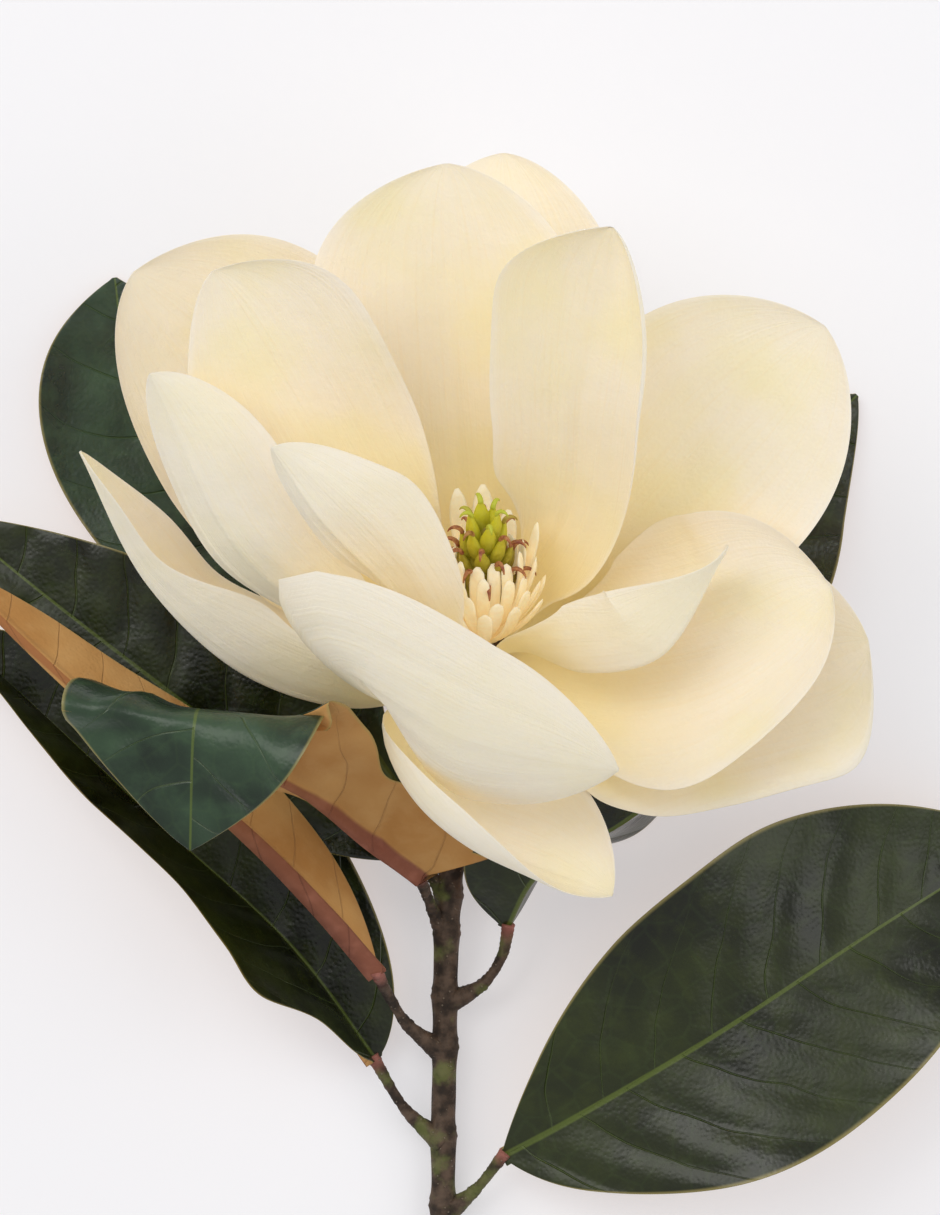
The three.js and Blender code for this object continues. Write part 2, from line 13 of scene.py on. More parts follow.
import bpy
import numpy as np
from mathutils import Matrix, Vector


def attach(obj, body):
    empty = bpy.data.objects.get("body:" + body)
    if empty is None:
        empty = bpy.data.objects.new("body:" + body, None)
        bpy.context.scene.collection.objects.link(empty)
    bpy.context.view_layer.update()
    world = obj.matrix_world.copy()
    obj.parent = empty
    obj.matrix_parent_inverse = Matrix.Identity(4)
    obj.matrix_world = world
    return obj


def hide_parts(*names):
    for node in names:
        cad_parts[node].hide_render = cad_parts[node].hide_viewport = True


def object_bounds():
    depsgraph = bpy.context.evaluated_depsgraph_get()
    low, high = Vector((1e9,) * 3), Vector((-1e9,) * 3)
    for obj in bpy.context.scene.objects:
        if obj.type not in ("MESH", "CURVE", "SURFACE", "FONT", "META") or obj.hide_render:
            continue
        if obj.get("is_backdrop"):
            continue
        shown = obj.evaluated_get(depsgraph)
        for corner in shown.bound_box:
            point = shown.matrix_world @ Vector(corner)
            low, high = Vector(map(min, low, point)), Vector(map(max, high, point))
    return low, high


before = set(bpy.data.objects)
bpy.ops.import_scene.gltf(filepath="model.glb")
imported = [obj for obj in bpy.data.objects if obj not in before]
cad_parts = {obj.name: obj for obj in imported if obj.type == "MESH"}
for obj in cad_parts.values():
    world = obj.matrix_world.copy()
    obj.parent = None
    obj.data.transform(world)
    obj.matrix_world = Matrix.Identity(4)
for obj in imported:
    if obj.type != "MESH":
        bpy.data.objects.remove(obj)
CAD_BOX = [list(corner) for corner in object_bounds()]
print("nodes in the frame:", len(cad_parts))
print("CAD box in metres:", np.round(CAD_BOX, 3).tolist())

# %% [markdown]
# ## Camera, table and light
# The photo looks at the branch from a long way off, so its lines hardly converge: a long lens far away
# does that. The branch lies down, so the camera hangs straight above it. The light is what a white studio
# gives: a bright surround, one large soft light from the upper left, a weaker one from the right and a
# third from beyond the bloom.

# %% Camera
ORIGIN = np.array([-2.9, 86.0, 0.0])  # in mm, from the drawing's own zero to the frame's
SENSOR = 36.0  # in mm, along the photo's longer side
PHOTO_HEIGHT = 1215  # in pixels
FOCAL_LENGTH = 4433  # in the photo's pixels
CAMERA_HEIGHT = 1.4  # in metres

camera = bpy.data.objects.new("camera", bpy.data.cameras.new("camera"))
camera.data.sensor_width = SENSOR
camera.data.lens = SENSOR * FOCAL_LENGTH / PHOTO_HEIGHT
camera.data.clip_start = 0.05
camera.data.clip_end = 20.0
camera.location = (ORIGIN[0] * 0.001, ORIGIN[1] * 0.001, CAMERA_HEIGHT)
bpy.context.scene.collection.objects.link(camera)
bpy.context.scene.camera = camera
print("lens in mm:", round(camera.data.lens, 1))

# %% Table
mesh = bpy.data.meshes.new("table")
mesh.from_pydata([(-6, -6, 0), (6, -6, 0), (6, 6, 0), (-6, 6, 0)], [], [(0, 1, 2, 3)])
table = bpy.data.objects.new("table", mesh)
bpy.context.scene.collection.objects.link(table)
table.location.z = -0.0004
table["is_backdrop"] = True
print("table made:", table.name)

# %% Lights
BLOOM_MIDDLE = np.array([0.0, 0.05, 0.05])  # in metres


def soft_light(name, place, size, watts, colour):
    """A square light of one size in metres at a place, turned to look at the bloom."""
    lamp = bpy.data.lights.new(name, "AREA")
    lamp.shape = "SQUARE"
    lamp.size = size
    lamp.energy = watts
    lamp.color = colour
    made = bpy.data.objects.new(name, lamp)
    made.location = place
    aim = BLOOM_MIDDLE - np.array(place)
    tilt = math.acos(-aim[2] / np.linalg.norm(aim))
    made.rotation_euler = (tilt, 0.0, math.atan2(aim[1], aim[0]) - math.pi / 2)
    bpy.context.scene.collection.objects.link(made)


soft_light("window", (-1.3, 1.0, 1.6), 1.5, 15.5, (1.0, 0.99, 0.96))
soft_light("fill", (1.5, 0.1, 1.4), 1.6, 9.5, (1.0, 1.0, 0.98))
soft_light("top", (-0.3, 0.9, 2.1), 1.2, 6.0, (1.0, 1.0, 0.97))

world = bpy.data.worlds.new("studio")
world.use_nodes = True
world.node_tree.nodes["Background"].inputs["Color"].default_value = (0.97, 0.98, 1.0, 1.0)
world.node_tree.nodes["Background"].inputs["Strength"].default_value = 0.5
bpy.context.scene.world = world
bpy.context.scene.view_settings.view_transform = "Standard"

# %% [markdown]
# ## Curves that everything grows along
# A midrib, a petal's middle and a stem are all curves through a few chosen points. A Catmull-Rom curve
# passes through every one of them. Its centripetal kind, where a longer step also takes longer, makes no
# loops. Values that change along a blade, such as how far its sides curl, go through the same kind of
# curve.

# %% Curve helpers
def unit(vectors):
    """Each vector divided by its length."""
    return vectors / np.linalg.norm(vectors, axis=-1, keepdims=True)


def smooth_curve(points, per_span=80):
    """Centripetal Catmull-Rom curve. Between two neighbours it is a cubic that starts and ends on them,
    with the slopes that the points on either side give when time goes as the square root of distance.
    Returns the curve's points and, for each, its place counted in control points."""
    p = np.asarray(points, float)
    p = np.vstack([2 * p[0] - p[1], p, 2 * p[-1] - p[-2]])
    step = np.sqrt(np.linalg.norm(np.diff(p, axis=0), axis=1))[:, None]
    before, wait, after = step[:-2], step[1:-1], step[2:]
    a, b, c, d = p[:-3], p[1:-2], p[2:-1], p[3:]
    leave = ((b - a) / before - (c - a) / (before + wait) + (c - b) / wait) * wait
    reach = ((c - b) / wait - (d - b) / (wait + after) + (d - c) / after) * wait
    t = np.linspace(0, 1, per_span, endpoint=False)[None, :, None]
    b, c, leave, reach = (x[:, None] for x in (b, c, leave, reach))
    cubic = b + leave * t + (3 * (c - b) - 2 * leave - reach) * t**2 + (2 * (b - c) + leave + reach) * t**3
    curve = np.vstack([cubic.reshape(-1, 3), p[-2]])
    return curve, np.arange(len(curve)) / per_span


def run_along(points, shares):
    """Points and unit tangents at shares of a smooth curve's length, each one's place in control points,
    and the length."""
    curve, place = smooth_curve(points)
    length = np.concatenate([[0], np.cumsum(np.linalg.norm(np.diff(curve, axis=0), axis=1))])
    want = np.asarray(shares) * length[-1]
    at = np.stack([np.interp(want, length, curve[:, k]) for k in range(3)], -1)
    slope = np.gradient(curve, length, axis=0)
    ahead = unit(np.stack([np.interp(want, length, slope[:, k]) for k in range(3)], -1))
    return at, ahead, np.interp(want, length, place), length[-1]


def spread(values, shares):
    """Values spaced evenly from 0 to 1 and read at shares, on a uniform Catmull-Rom curve."""
    v = np.atleast_1d(np.asarray(values, float))
    shares = np.asarray(shares, float)
    if len(v) == 1:
        return np.broadcast_to(v[0], shares.shape + v.shape[1:]).copy()
    v = np.concatenate([[2 * v[0] - v[1]], v, [2 * v[-1] - v[-2]]])
    x = np.clip(shares, 0, 1) * (len(v) - 3)
    i = np.minimum(x.astype(int), len(v) - 4)
    t = (x - i).reshape(x.shape + (1,) * (v.ndim - 1))
    a, b, c, d = v[i], v[i + 1], v[i + 2], v[i + 3]
    return b + 0.5 * t * (c - a + t * (2 * a - 5 * b + 4 * c - d + t * (3 * (b - c) + d - a)))


def bell(away, width):
    """A bell curve: 1 where away is 0, and 1 over e at the width."""
    return np.exp(-((away / width) ** 2))


def even_turn(count):
    """Angles in radians, evenly spaced round a full turn."""
    return np.arange(count) * 2 * math.pi / count


print("between 0, 1 and 4:", spread([0, 1, 4], [0.25, 0.5, 0.75]).round(2).tolist())

# %% [markdown]
# ## From a grid to a mesh
# Every piece below is a grid: rows along it and a closed ring of points across it. One function joins the
# rows with four-sided faces, closes both ends with a pole, and turns all faces outwards by the sign of
# the volume. Values such as how far along the petal a point is go into the mesh too, for the materials to
# read.

# %% Grid to mesh
def ring_faces(rows, ring):
    """Four corners for each face between neighbouring points of a rows by ring grid whose rings are
    closed."""
    r, k = np.meshgrid(np.arange(rows - 1), np.arange(ring), indexing="ij")
    n = (k + 1) % ring
    return np.stack([r * ring + k, r * ring + n, (r + 1) * ring + n, (r + 1) * ring + k], -1).reshape(-1, 4)


def end_faces(ring, start, pole):
    """Triangles that fan from a pole to the ring of points that begins at start."""
    k = np.arange(ring)
    return np.stack([np.full(ring, pole), start + (k + 1) % ring, start + k], -1)


def volume_of(points, corners):
    """Six times the volume: the sum over faces of the triple product of their first three corners."""
    a, b, c = (points[corners[:, k]] for k in range(3))
    return np.sum(np.cross(a, b) * c)


def tube_arrays(grid, values):
    """One closed body from a grid of shape rows, ring, 3: its points, its faces and its values at each
    point."""
    rows, ring, _ = grid.shape
    points = np.vstack([grid.reshape(-1, 3), grid[0].mean(0), grid[-1].mean(0)])
    quads = ring_faces(rows, ring)
    pole = rows * ring
    fans = np.vstack([end_faces(ring, 0, pole), end_faces(ring, pole - ring, pole + 1)[:, ::-1]])
    if volume_of(points, quads) < 0:
        quads, fans = quads[:, ::-1], fans[:, ::-1]
    carried = {}
    for name, value in values.items():
        value = np.broadcast_to(value, (rows, ring))
        carried[name] = np.concatenate([value.ravel(), [value[0].mean(), value[-1].mean()]])
    return points, quads, fans, carried


def make_piece(name, bodies, material, node):
    """A mesh object from closed bodies in mm: their points, faces and values in one. It rides on the root
    body, stands for a CAD node, which it hides, and takes the material that it is given."""
    points, quads, fans, carried, start = [], [], [], {}, 0
    for body_points, body_quads, body_fans, values in bodies:
        points.append(body_points)
        quads.append(body_quads + start)
        fans.append(body_fans + start)
        for key, value in values.items():
            carried.setdefault(key, []).append(value)
        start += len(body_points)
    points, quads, fans = (np.concatenate(x) for x in (points, quads, fans))
    corners = np.concatenate([quads.ravel(), fans.ravel()])
    sizes = np.concatenate([np.full(len(quads), 4), np.full(len(fans), 3)])
    made = bpy.data.meshes.new(name)
    made.vertices.add(len(points))
    made.vertices.foreach_set("co", ((points + ORIGIN) * 0.001).astype(np.float32).ravel())
    made.loops.add(len(corners))
    made.loops.foreach_set("vertex_index", corners.astype(np.int32))
    made.polygons.add(len(sizes))
    made.polygons.foreach_set("loop_start", np.concatenate([[0], np.cumsum(sizes)[:-1]]).astype(np.int32))
    made.polygons.foreach_set("use_smooth", np.ones(len(sizes), bool))
    made.update(calc_edges=True)
    for key, value in carried.items():
        layer = made.attributes.new(key, "FLOAT", "POINT")
        layer.data.foreach_set("value", np.concatenate(value).astype(np.float32))
    made.materials.append(material)
    piece = bpy.data.objects.new(name, made)
    bpy.context.scene.collection.objects.link(piece)
    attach(piece, "root")
    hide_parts(node)
    print(f"{name}: {len(points)} points, {2 * len(quads) + len(fans)} triangles")
    return piece


def stand_in(name):
    """A named material with nodes, filled in further down."""
    made = bpy.data.materials.new(name)
    made.use_nodes = True
    return made


petal_skin = stand_in("petal skin")
leaf_skin = stand_in("leaf skin")
bark_skin = stand_in("bark")
stamen_skin = stand_in("stamen skin")
carpel_skin = stand_in("carpel skin")
print("materials to fill:", [m.name for m in bpy.data.materials])

# %% [markdown]
# ## What the bloom is built on
# The end of the stem swells into the torus, and all the bloom's organs are seated on it in spirals: three
# whorls of petals, then stamens, then carpels. It leans towards the eye, so everything on it is placed by
# a height up its axis, a distance out from it and a turn about it.

# %% Bloom axis
BLOOM_SEAT = np.array([4.5, -23.0, 46.0])
LEAN = math.radians(52)
WHORL_HEIGHTS = dict(outer=3, middle=8.5, inner=14)
TORUS_RADIUS = 6.5
TORUS_HEIGHT = 19.0

bloom_axis = np.array([0, math.sin(LEAN), math.cos(LEAN)])
bloom_turn = np.array([[1, 0, 0],
                       [0, math.cos(LEAN), math.sin(LEAN)],
                       [0, -math.sin(LEAN), math.cos(LEAN)]])


def up_bloom(height):
    """The point at a height up the bloom's axis."""
    return BLOOM_SEAT + bloom_axis * height


def onto_bloom(points, turns):
    """Points drawn about +Z, turned about it by degrees and then stood on the bloom's leaning axis."""
    a = np.radians(turns)
    x = points[..., 0] * np.cos(a) - points[..., 1] * np.sin(a)
    y = points[..., 0] * np.sin(a) + points[..., 1] * np.cos(a)
    return np.stack([x, y, points[..., 2]], -1) @ bloom_turn.T + BLOOM_SEAT


print("top of the torus in mm:", up_bloom(TORUS_HEIGHT).round(1).tolist())

# %% [markdown]
# ## Petals and leaves as bent strips
# A blade has a midline in space and a side direction at each point of it. Across, each half starts at an
# angle to the blade's plane and then turns steadily, which makes an arc: a keeled leaf starts steep, a
# cupped petal turns far. A rolled margin only turns in its last part. The arc is the running sum of small
# steps in the direction that the turning gives, which numpy's cumsum does for a whole blade at once.
#
# A real blade is thickest in the middle and thins out to a rounded edge, so the ring of points across it
# goes up one face and down the other, and its thickness falls to nothing where the two meet.

# %% Blade helpers
ROLL_SHARE = 0.2  # the outer part of each half, which a roll bends
ARC_STEPS = 240


def blade_frame(points, faces, shares):
    """At shares of the length: the midline's point, its side direction (face cross ahead), the direction
    that the inner face looks in (ahead cross side), and the length in mm."""
    at, ahead, _, length = run_along(points, shares)
    side = unit(np.cross(unit(spread(faces, shares)), ahead))
    return at, side, np.cross(ahead, side), length


def half_arc(fold, curl, roll, reach, v):
    """One half of each cross-section, for |v| from 0 to 1. Its direction is fold + curl |v| + roll times
    the square of how far |v| is into the roll share, as a share of it. Returns how far each point is
    across and above, and its direction, from the running sum of cosines and sines of that direction."""
    u = np.linspace(0, 1, ARC_STEPS + 1)
    last = np.maximum(u - (1 - ROLL_SHARE), 0) / ROLL_SHARE
    way = np.radians(fold[:, None] + curl[:, None] * u + roll[:, None] * last**2)
    run = [np.cumsum(f(way), axis=1) - f(way) / 2 - f(way[:, :1]) / 2 for f in (np.cos, np.sin)]
    x = np.abs(v) * ARC_STEPS
    i = np.minimum(x.astype(int), ARC_STEPS - 1)
    t = x - i
    across, above, way = (a[:, i] * (1 - t) + a[:, i + 1] * t for a in (*run, way))
    return across * reach[:, None] / ARC_STEPS, above * reach[:, None] / ARC_STEPS, way


def ring_across(count):
    """A ring of v from -1 up the inner face to 1 and back down the outer face, closer together at the
    midline and the margins: minus the cosine of an even turn, its size to the power 1.35. Also the sine,
    the face's side."""
    turn = even_turn(count)
    cosine = np.cos(turn)
    return -np.sign(cosine) * np.abs(cosine) ** 1.35, np.sin(turn)


def blade_grid(spec, seat, half, thickness, lift, shares, count, rib=None):
    """The closed surface of a blade. Row by row it is the midline's point, plus the arc across, plus or
    minus half the thickness along the surface's normal, with any rib added on the outer face and lift
    added on both. Returns the grid, its values along, aside and inner, each point's way aside in mm and
    the length in mm."""
    v, upside = ring_across(count)
    at, side, face, length = blade_frame(np.vstack([seat, spec["path"]]), spec["face"], shares)
    fold = spread(spec.get("fold", 0), shares)
    reaches, arcs = [], []
    for hand in ("right", "left"):
        reaches.append(half * spread(spec.get(hand, 1), shares))
        curl = spread(spec.get("curl_" + hand, spec.get("curl")), shares)
        roll = spread(spec.get("roll_" + hand, 0), shares)
        arcs.append(half_arc(fold, curl, roll, reaches[-1], v))
    left = (v > 0)[None, :]
    across, above, way = (np.where(left, b, a) for a, b in zip(*arcs))
    across = across * np.sign(v)
    wide = np.where(left, reaches[1][:, None], reaches[0][:, None]) * np.abs(v)
    above = above + lift(shares[:, None], v[None, :], wide, length)
    normal = face[:, None] * np.cos(way)[..., None] - side[:, None] * (np.sign(v) * np.sin(way))[..., None]
    edge = np.sqrt(np.maximum(1 - np.abs(v) ** 8, 0))[None, :]
    offset = np.where(upside >= 0, 0.5, -0.5) * thickness(shares[:, None], np.abs(v)[None, :]) * edge
    if rib:
        offset = offset - np.where(upside < 0, 1, 0) * rib(shares[:, None], wide)
    grid = at[:, None] + side[:, None] * across[..., None] + face[:, None] * above[..., None]
    values = dict(along=shares[:, None], aside=v[None, :], inner=np.where(upside >= 0, 1.0, 0.0)[None, :])
    return grid + normal * offset[..., None], values, wide, length


def above_table(grid):
    """The grid with no point lower than the table."""
    return np.maximum(grid, [-np.inf, -np.inf, 0])


v, _ = ring_across(16)
print("ring of v:", v.round(2).tolist())

# %% [markdown]
# ## Petals
# The bloom has five outer petals and nine more in two whorls inside them. Their midlines and the way that
# they face are set from the photo, one row a petal: the front ones stand up and bend back over
# themselves, the back ones lie open like spoons. In a row, width is the widest part in mm and widest its
# share of the length, and a smaller tip makes a blunter end. right and left scale each half, fold tilts
# it, curl bends it and roll bends its margin, in degrees, all spaced evenly from the base to the tip.
# ruffle scales the waves of the margin.

# %% Petal rows
PETALS = [
    dict(name="outer_back", width=88, right=[1, 1, 0.88, 0.85], curl_right=[10, 30, 30],
         curl_left=[5, 8, 8], path=[[6, 0, 34], [9, 30, 38], [13, 76, 48], [10, 138, 54]],
         face=[[-0.08, 0, 1]]),
    dict(name="outer_left_back", ruffle=1.5, width=90, right=[1, 1, 1, 1.15], curl=[10, 30, 30],
         roll_left=[0, 20, 50], path=[[-12, -10, 40], [-36, 20, 45], [-61, 64, 58], [-101, 100, 74]],
         face=[[0.15, -0.2, 0.95]]),
    dict(name="outer_left", ruffle=1.6, width=72, right=[0.8, 0.8, 0.8, 0.6, 0.6],
         left=[0.9, 0.9, 0.65, 0.26, 0.3], fold=[10, 40, 50, 48, 42, 5], tip=0.75,
         curl_right=[10, 20, 20], curl_left=[10, 25, 20],
         path=[[-13, -26, 50], [-36, -30, 54], [-68, -20, 63], [-96, 7, 76], [-115, 46, 92]],
         face=[[0.3, 0.6, 0.6], [0.5, 0.75, -0.1], [0.6, 0.6, 0.2]]),
    dict(name="outer_front", ruffle=2.6, width=80, widest=0.52, tip=0.75, right=[0.4, 0.7, 0.75, 0.5, 0.5],
         left=[0.6, 0.3, 0.65, 1.05, 1.05], curl_right=[10, 100, 40], curl_left=[10, 38, 30],
         path=[[-4, -36, 58], [-14, -50, 70], [3, -69, 82], [42, -85, 92]],
         face=[[0.2, 0.8, 0.2], [0.3, 0.7, 0.5], [0.2, 0.6, 0.7]]),
    dict(name="outer_right", ruffle=2.4, width=86, right=[1, 1.5, 1.2, 0.95, 1.05, 1.7], curl=[10, 30, 10],
         roll_right=[0, -30, -60], path=[[20, -25, 51], [40, -25, 55], [76, -23, 63], [119, -10, 76]],
         face=[[-0.1, 0.5, 0.85], [-0.2, 0.28, 0.93], [-0.2, 0.28, 0.93]]),
    dict(name="middle_back", ruffle=1.5, width=84, left=[1, 1, 1.05, 1.4], curl_right=[5, 15, 15],
         curl_left=[10, 30, 25], path=[[3, 4, 44], [0, 28, 54], [-4, 72, 74], [-7, 131, 92]],
         face=[[0, -0.3, 1]]),
    dict(name="middle_left", width=74, right=[0.5, 0.3, 0.35], left=0.78, curl_right=[5, 10, 10],
         curl_left=[5, 12, 45, 50],
         path=[[-15, -12, 54], [-38, -5, 73], [-67, 16, 93], [-93, 68, 110]],
         face=[[0.7, 0.5, -0.1], [0.42, 0.45, -0.7], [0.3, 0.45, -0.75]]),
    dict(name="middle_front", ruffle=1.5, width=86, widest=0.52, tip=0.8, right=[0.9, 0.85, 0.82, 0.75],
         left=[0.8, 0.45, 0.2, 0.6, 1.15, 1.1, 1], curl_right=[10, 45, 35], curl_left=[10, 45, 25],
         path=[[-6, -26, 66], [-24, -28, 89], [-34, -19, 110], [-2, -37, 121], [43, -47, 117]],
         face=[[0.2, 0.9, -0.1], [0.4, 0.8, -0.2], [0.3, 0.6, -0.6], [0.2, 0.5, -0.8]]),
    dict(name="middle_right", ruffle=1.5, width=88, tip=0.5, right=[1, 1, 1, 0.75, 0.75],
         left=[1, 1, 1, 1, 1.2], curl=[10, 30, 30, 40],
         path=[[22, -17, 57], [46, -19, 68], [77, -12, 84], [106, 6, 96]], face=[[-0.3, 0.2, 0.9]]),
    dict(name="middle_right_back", width=85, left=[0.55, 0.9, 1.05, 1.1], curl=[10, 30, 28],
         path=[[22, -3, 50], [42, 17, 64], [75, 53, 79], [105, 83, 90]], face=[[-0.3, -0.3, 0.9]]),
    dict(name="inner_left_back", width=78, right=[0.82, 0.82, 0.84, 0.95, 1.4],
         left=[1, 1, 1, 0.8, 0.6], curl_right=[10, 35, 35], curl_left=[5, 12, 12],
         path=[[-13, 1, 52], [-30, 22, 71], [-50, 56, 90], [-75, 98, 108]], face=[[0.25, -0.4, 0.85]]),
    dict(name="inner_left_front", width=70, right=0.18, left=[1, 0.72, 0.74, 0.8, 0.65],
         curl_right=[5, 8, 10], curl_left=[10, 45, 50],
         path=[[-10, -8, 72], [-25, 8, 101], [-43, 26, 119], [-57, 46, 127]],
         face=[[0.85, 0.45, 0.15], [0.4, 0.5, -0.6], [0.2, 0.45, -0.85]]),
    dict(name="inner_right_front", width=62, right=[0.9, 0.95, 0.88, 0.75, 0],
         left=[0.7, 0.7, 0.9], tip=0.8, fold=[10, 30, 40, 40, 38, 5],
         curl_right=[10, 30, 20], curl_left=[5, 10, 10],
         path=[[17, -13, 70], [34, -19, 86], [56, -14, 98], [75, 18, 108]],
         face=[[-0.3, 0.8, 0], [-0.3, 0.85, -0.3], [-0.4, 0.8, -0.2]]),
    dict(name="inner_right_back", width=62, right=[1, 1, 0.8, 0.85, 1, 1],
         left=[0.8, 0.55, 0.88, 0.87, 1.25, 2.4], curl=[5, 30, 60, 90], roll_right=[0, 20, 60, 40],
         path=[[18, 8, 55.5], [30, 30, 79], [33, 68, 104], [41, 110, 118]],
         face=[[-0.5, -0.3, 0.8], [-0.35, -0.2, 0.9], [-0.2, -0.3, 0.93]]),
]
print("petals:", len(PETALS))

# %% Make the petals
CLAW_HALF_WIDTH = 3.2
FURROW_DEPTH = 0.35


def petal_half_width(spec, s):
    """Half the width at share s: from the claw it widens as a quarter sine to the power 1.25 up to the
    widest share w, then falls as (1 - x ** 2.2) ** tip, with x the share of the rest, and never under 1
    mm."""
    w = spec.get("widest", 0.62)
    rise = np.sin(math.pi / 2 * np.minimum(s / w, 1)) ** 1.25
    fall = (1 - np.clip((s - w) / (1 - w), 0, 1) ** 2.2) ** spec.get("tip", 0.62)
    claw = CLAW_HALF_WIDTH * (1 - s)
    return np.maximum(claw + (spec["width"] / 2 - claw) * rise * fall, 1)


def petal_thickness(s, a):
    """Thickness in mm at share s, where a is the size of v: it thins out to the margin and the tip."""
    return (1.15 - 0.5 * a) * (1 - 0.25 * s)


def petal_lift(rng, ruffle):
    """A petal's unevenness in mm: three slow waves along it that grow towards the margins, five soft
    creases that run up it, each a bell curve across, and a shallow furrow along the midline. The waves'
    lengths and starts and the creases' places, slants, widths and heights are drawn at random, and ruffle
    scales the waves."""
    beats, starts = rng.uniform(0.9, 3.2, 3), rng.uniform(0, 2 * math.pi, (3, 2))
    places, slants = rng.uniform(-0.8, 0.8, 5), rng.uniform(-0.35, 0.35, 5)
    widths, heights = rng.uniform(0.05, 0.13, 5), rng.uniform(-0.8, 0.8, 5)

    def lift(s, v, wide, length):
        waves, creases = 0, 0
        for k in range(3):
            start = np.where(v > 0, starts[k, 0], starts[k, 1])
            waves = waves + np.sin(2 * math.pi * beats[k] * s + start) / (k + 1)
        for place, slant, width, height in zip(places, slants, widths, heights):
            creases = creases + height * bell(v - place - slant * (s - 0.5), width)
        body = np.sin(math.pi * s)
        furrow = FURROW_DEPTH * bell(v, 0.07) * s * (1 - s) * 4
        return ruffle * 0.75 * waves * v**2 * body**0.7 + creases * body**2 * (1 - v**8) - furrow

    return lift


for index, spec in enumerate(PETALS):
    rng = np.random.default_rng(40 + index)
    shares = 1 - (1 - np.linspace(0, 1, 81)) ** 1.5
    centre = up_bloom(WHORL_HEIGHTS[spec["name"].split("_")[0]])
    outward = np.array(spec["path"][0]) - centre
    outward = unit(outward - bloom_axis * (outward @ bloom_axis))
    seat = centre + outward * (TORUS_RADIUS - 2)
    half = petal_half_width(spec, shares)
    lift = petal_lift(rng, spec.get("ruffle", 1.0))
    grid, values, _, _ = blade_grid(spec, seat, half, petal_thickness, lift, shares, 88)
    body = tube_arrays(grid, dict(values, own=rng.uniform()))
    make_piece("petal_skin_" + spec["name"], [body], petal_skin, "petal_" + spec["name"])

# %% [markdown]
# ## Leaves
# A magnolia leaf is stiff and leathery. Its side veins leave the midrib at a steady angle and bend
# forward near the margin, and between them the blade puffs up a little. One number, the vein place,
# counts side veins from the base up: it is whole on a vein and half way between two. The mesh puffs by it
# and the material draws the veins from it, so the two always agree. The rows below hold what the petals'
# rows do, with twig as the path of the stalk and wave as the ripple of the margin in mm.

# %% Leaf rows
LEAVES = [
    dict(name="right_low", width=104, widest=0.48, right=[1, 0.93, 0.93, 0.93, 0.96],
         left=[0.6, 0.8, 0.88, 0.93, 1.03, 1.06, 1], fold=8, curl=[10, 14, 10], wave=4,
         twig=[[-7.2, -190, 6], [1.5, -183, 8], [11, -170.5, 14]],
         path=[[30, -160, 22], [76, -132, 30], [126, -100, 24], [174, -72, 8]], face=[[0, 0, 1]]),
    dict(name="left_low", width=88, right=[0.75, 0.8, 0.9, 1, 1],
         left=[0.8, 0.82, 1.42, 1, 0.82, 0.86, 0.8, 0.75, 0.85, 0.8, 0.8], widest=0.38, fold=40,
         curl=[6, 8, 6], wave=3.5, twig=[[-8.6, -168, 7], [-20, -158, 7.5], [-30.5, -141, 8]],
         path=[[-56, -107, 7], [-97, -69, 6], [-146, -23, 6], [-168, -4, 7]], face=[[0.39, 0.39, 0.83]]),
    dict(name="left_keeled", width=56, widest=0.45, fold=62, curl=[10, 14, 10], wave=2,
         twig=[[-8, -140, 8], [-19, -131, 14], [-25, -121, 23], [-29, -112, 34]],
         path=[[-44, -94, 43], [-68, -69, 50], [-120, -25, 54], [-162, 15, 52]], face=[[0.2, 0.21, -0.95]]),
    dict(name="right_behind", width=68, widest=0.4, fold=-42, curl=[10, 14, 10], wave=2,
         twig=[[-7, -124, 9], [4, -118, 11], [10, -109, 13], [12, -99, 17]],
         path=[[21, -83, 30], [50, -64, 40], [80, -38, 42], [100, 0, 36]], face=[[0.5, -0.45, 0.7]]),
    dict(name="left_folded", width=88, right=[0.1, 0.06, 0.5, 1.08, 0.95],
         left=[8.5, 2.3, 0.85, 0.97, 1.06, 0.95, 1.04, 1, 0.9], widest=0.55, fold=2, curl=[3, 3, 6],
         wave=1.5, twig=[[-7, -104, 10], [-11, -96, 16], [-13.5, -89, 24], [-16, -82, 33]],
         path=[[-31, -71, 46], [-49, -56, 59], [-66, -46, 69], [-76, -38, 76],
               [-80, -30.5, 85], [-81, -34, 95], [-83, -72, 84]],
         face=[[0.25, 0.8, -0.5], [0.1, 0.75, -0.65], [0, 0.75, -0.67], [0.05, 0.77, -0.64],
               [0.13, 0.8, -0.57], [0.2, 0.81, -0.5], [0.25, 0.83, -0.4], [0.06, 0.9, 0.35],
               [-0.35, -0.2, 0.9], [-0.3, -0.25, 0.9], [-0.2, -0.25, 0.95]]),
    dict(name="left_behind", width=70, left=0.55, widest=0.45, fold=3, curl=[6, 8, 6], wave=1.5,
         twig=[[-7, -92, 12], [-12, -84, 16], [-20, -77, 21]],
         path=[[-50, -60, 21], [-90, -29, 21], [-130, 2, 21], [-162, 28, 21]], face=[[0, 0, 1]]),
    dict(name="back_left", width=80, left=[1, 1, 0.85, 0.8, 0.95, 1.3], widest=0.62, fold=8,
         curl=[10, 14, 10], wave=2, twig=[[-6, -80, 13], [-12, -72, 8], [-20, -60, 6]],
         path=[[-55, -10, 4], [-86, 30, 2.2], [-106, 64, 1.5], [-112, 104, 2.5]], face=[[0, 0, 1]]),
    dict(name="back_right", width=80, widest=0.5, fold=8, curl=[10, 14, 10], wave=2,
         twig=[[-5, -74, 15], [2, -66, 10], [8, -56, 8]],
         path=[[35, -26, 5], [72, 9, 2.2], [99, 43, 1.2], [122, 67, 2.5]], face=[[0, 0, 1]]),
]
print("leaves:", len(LEAVES))

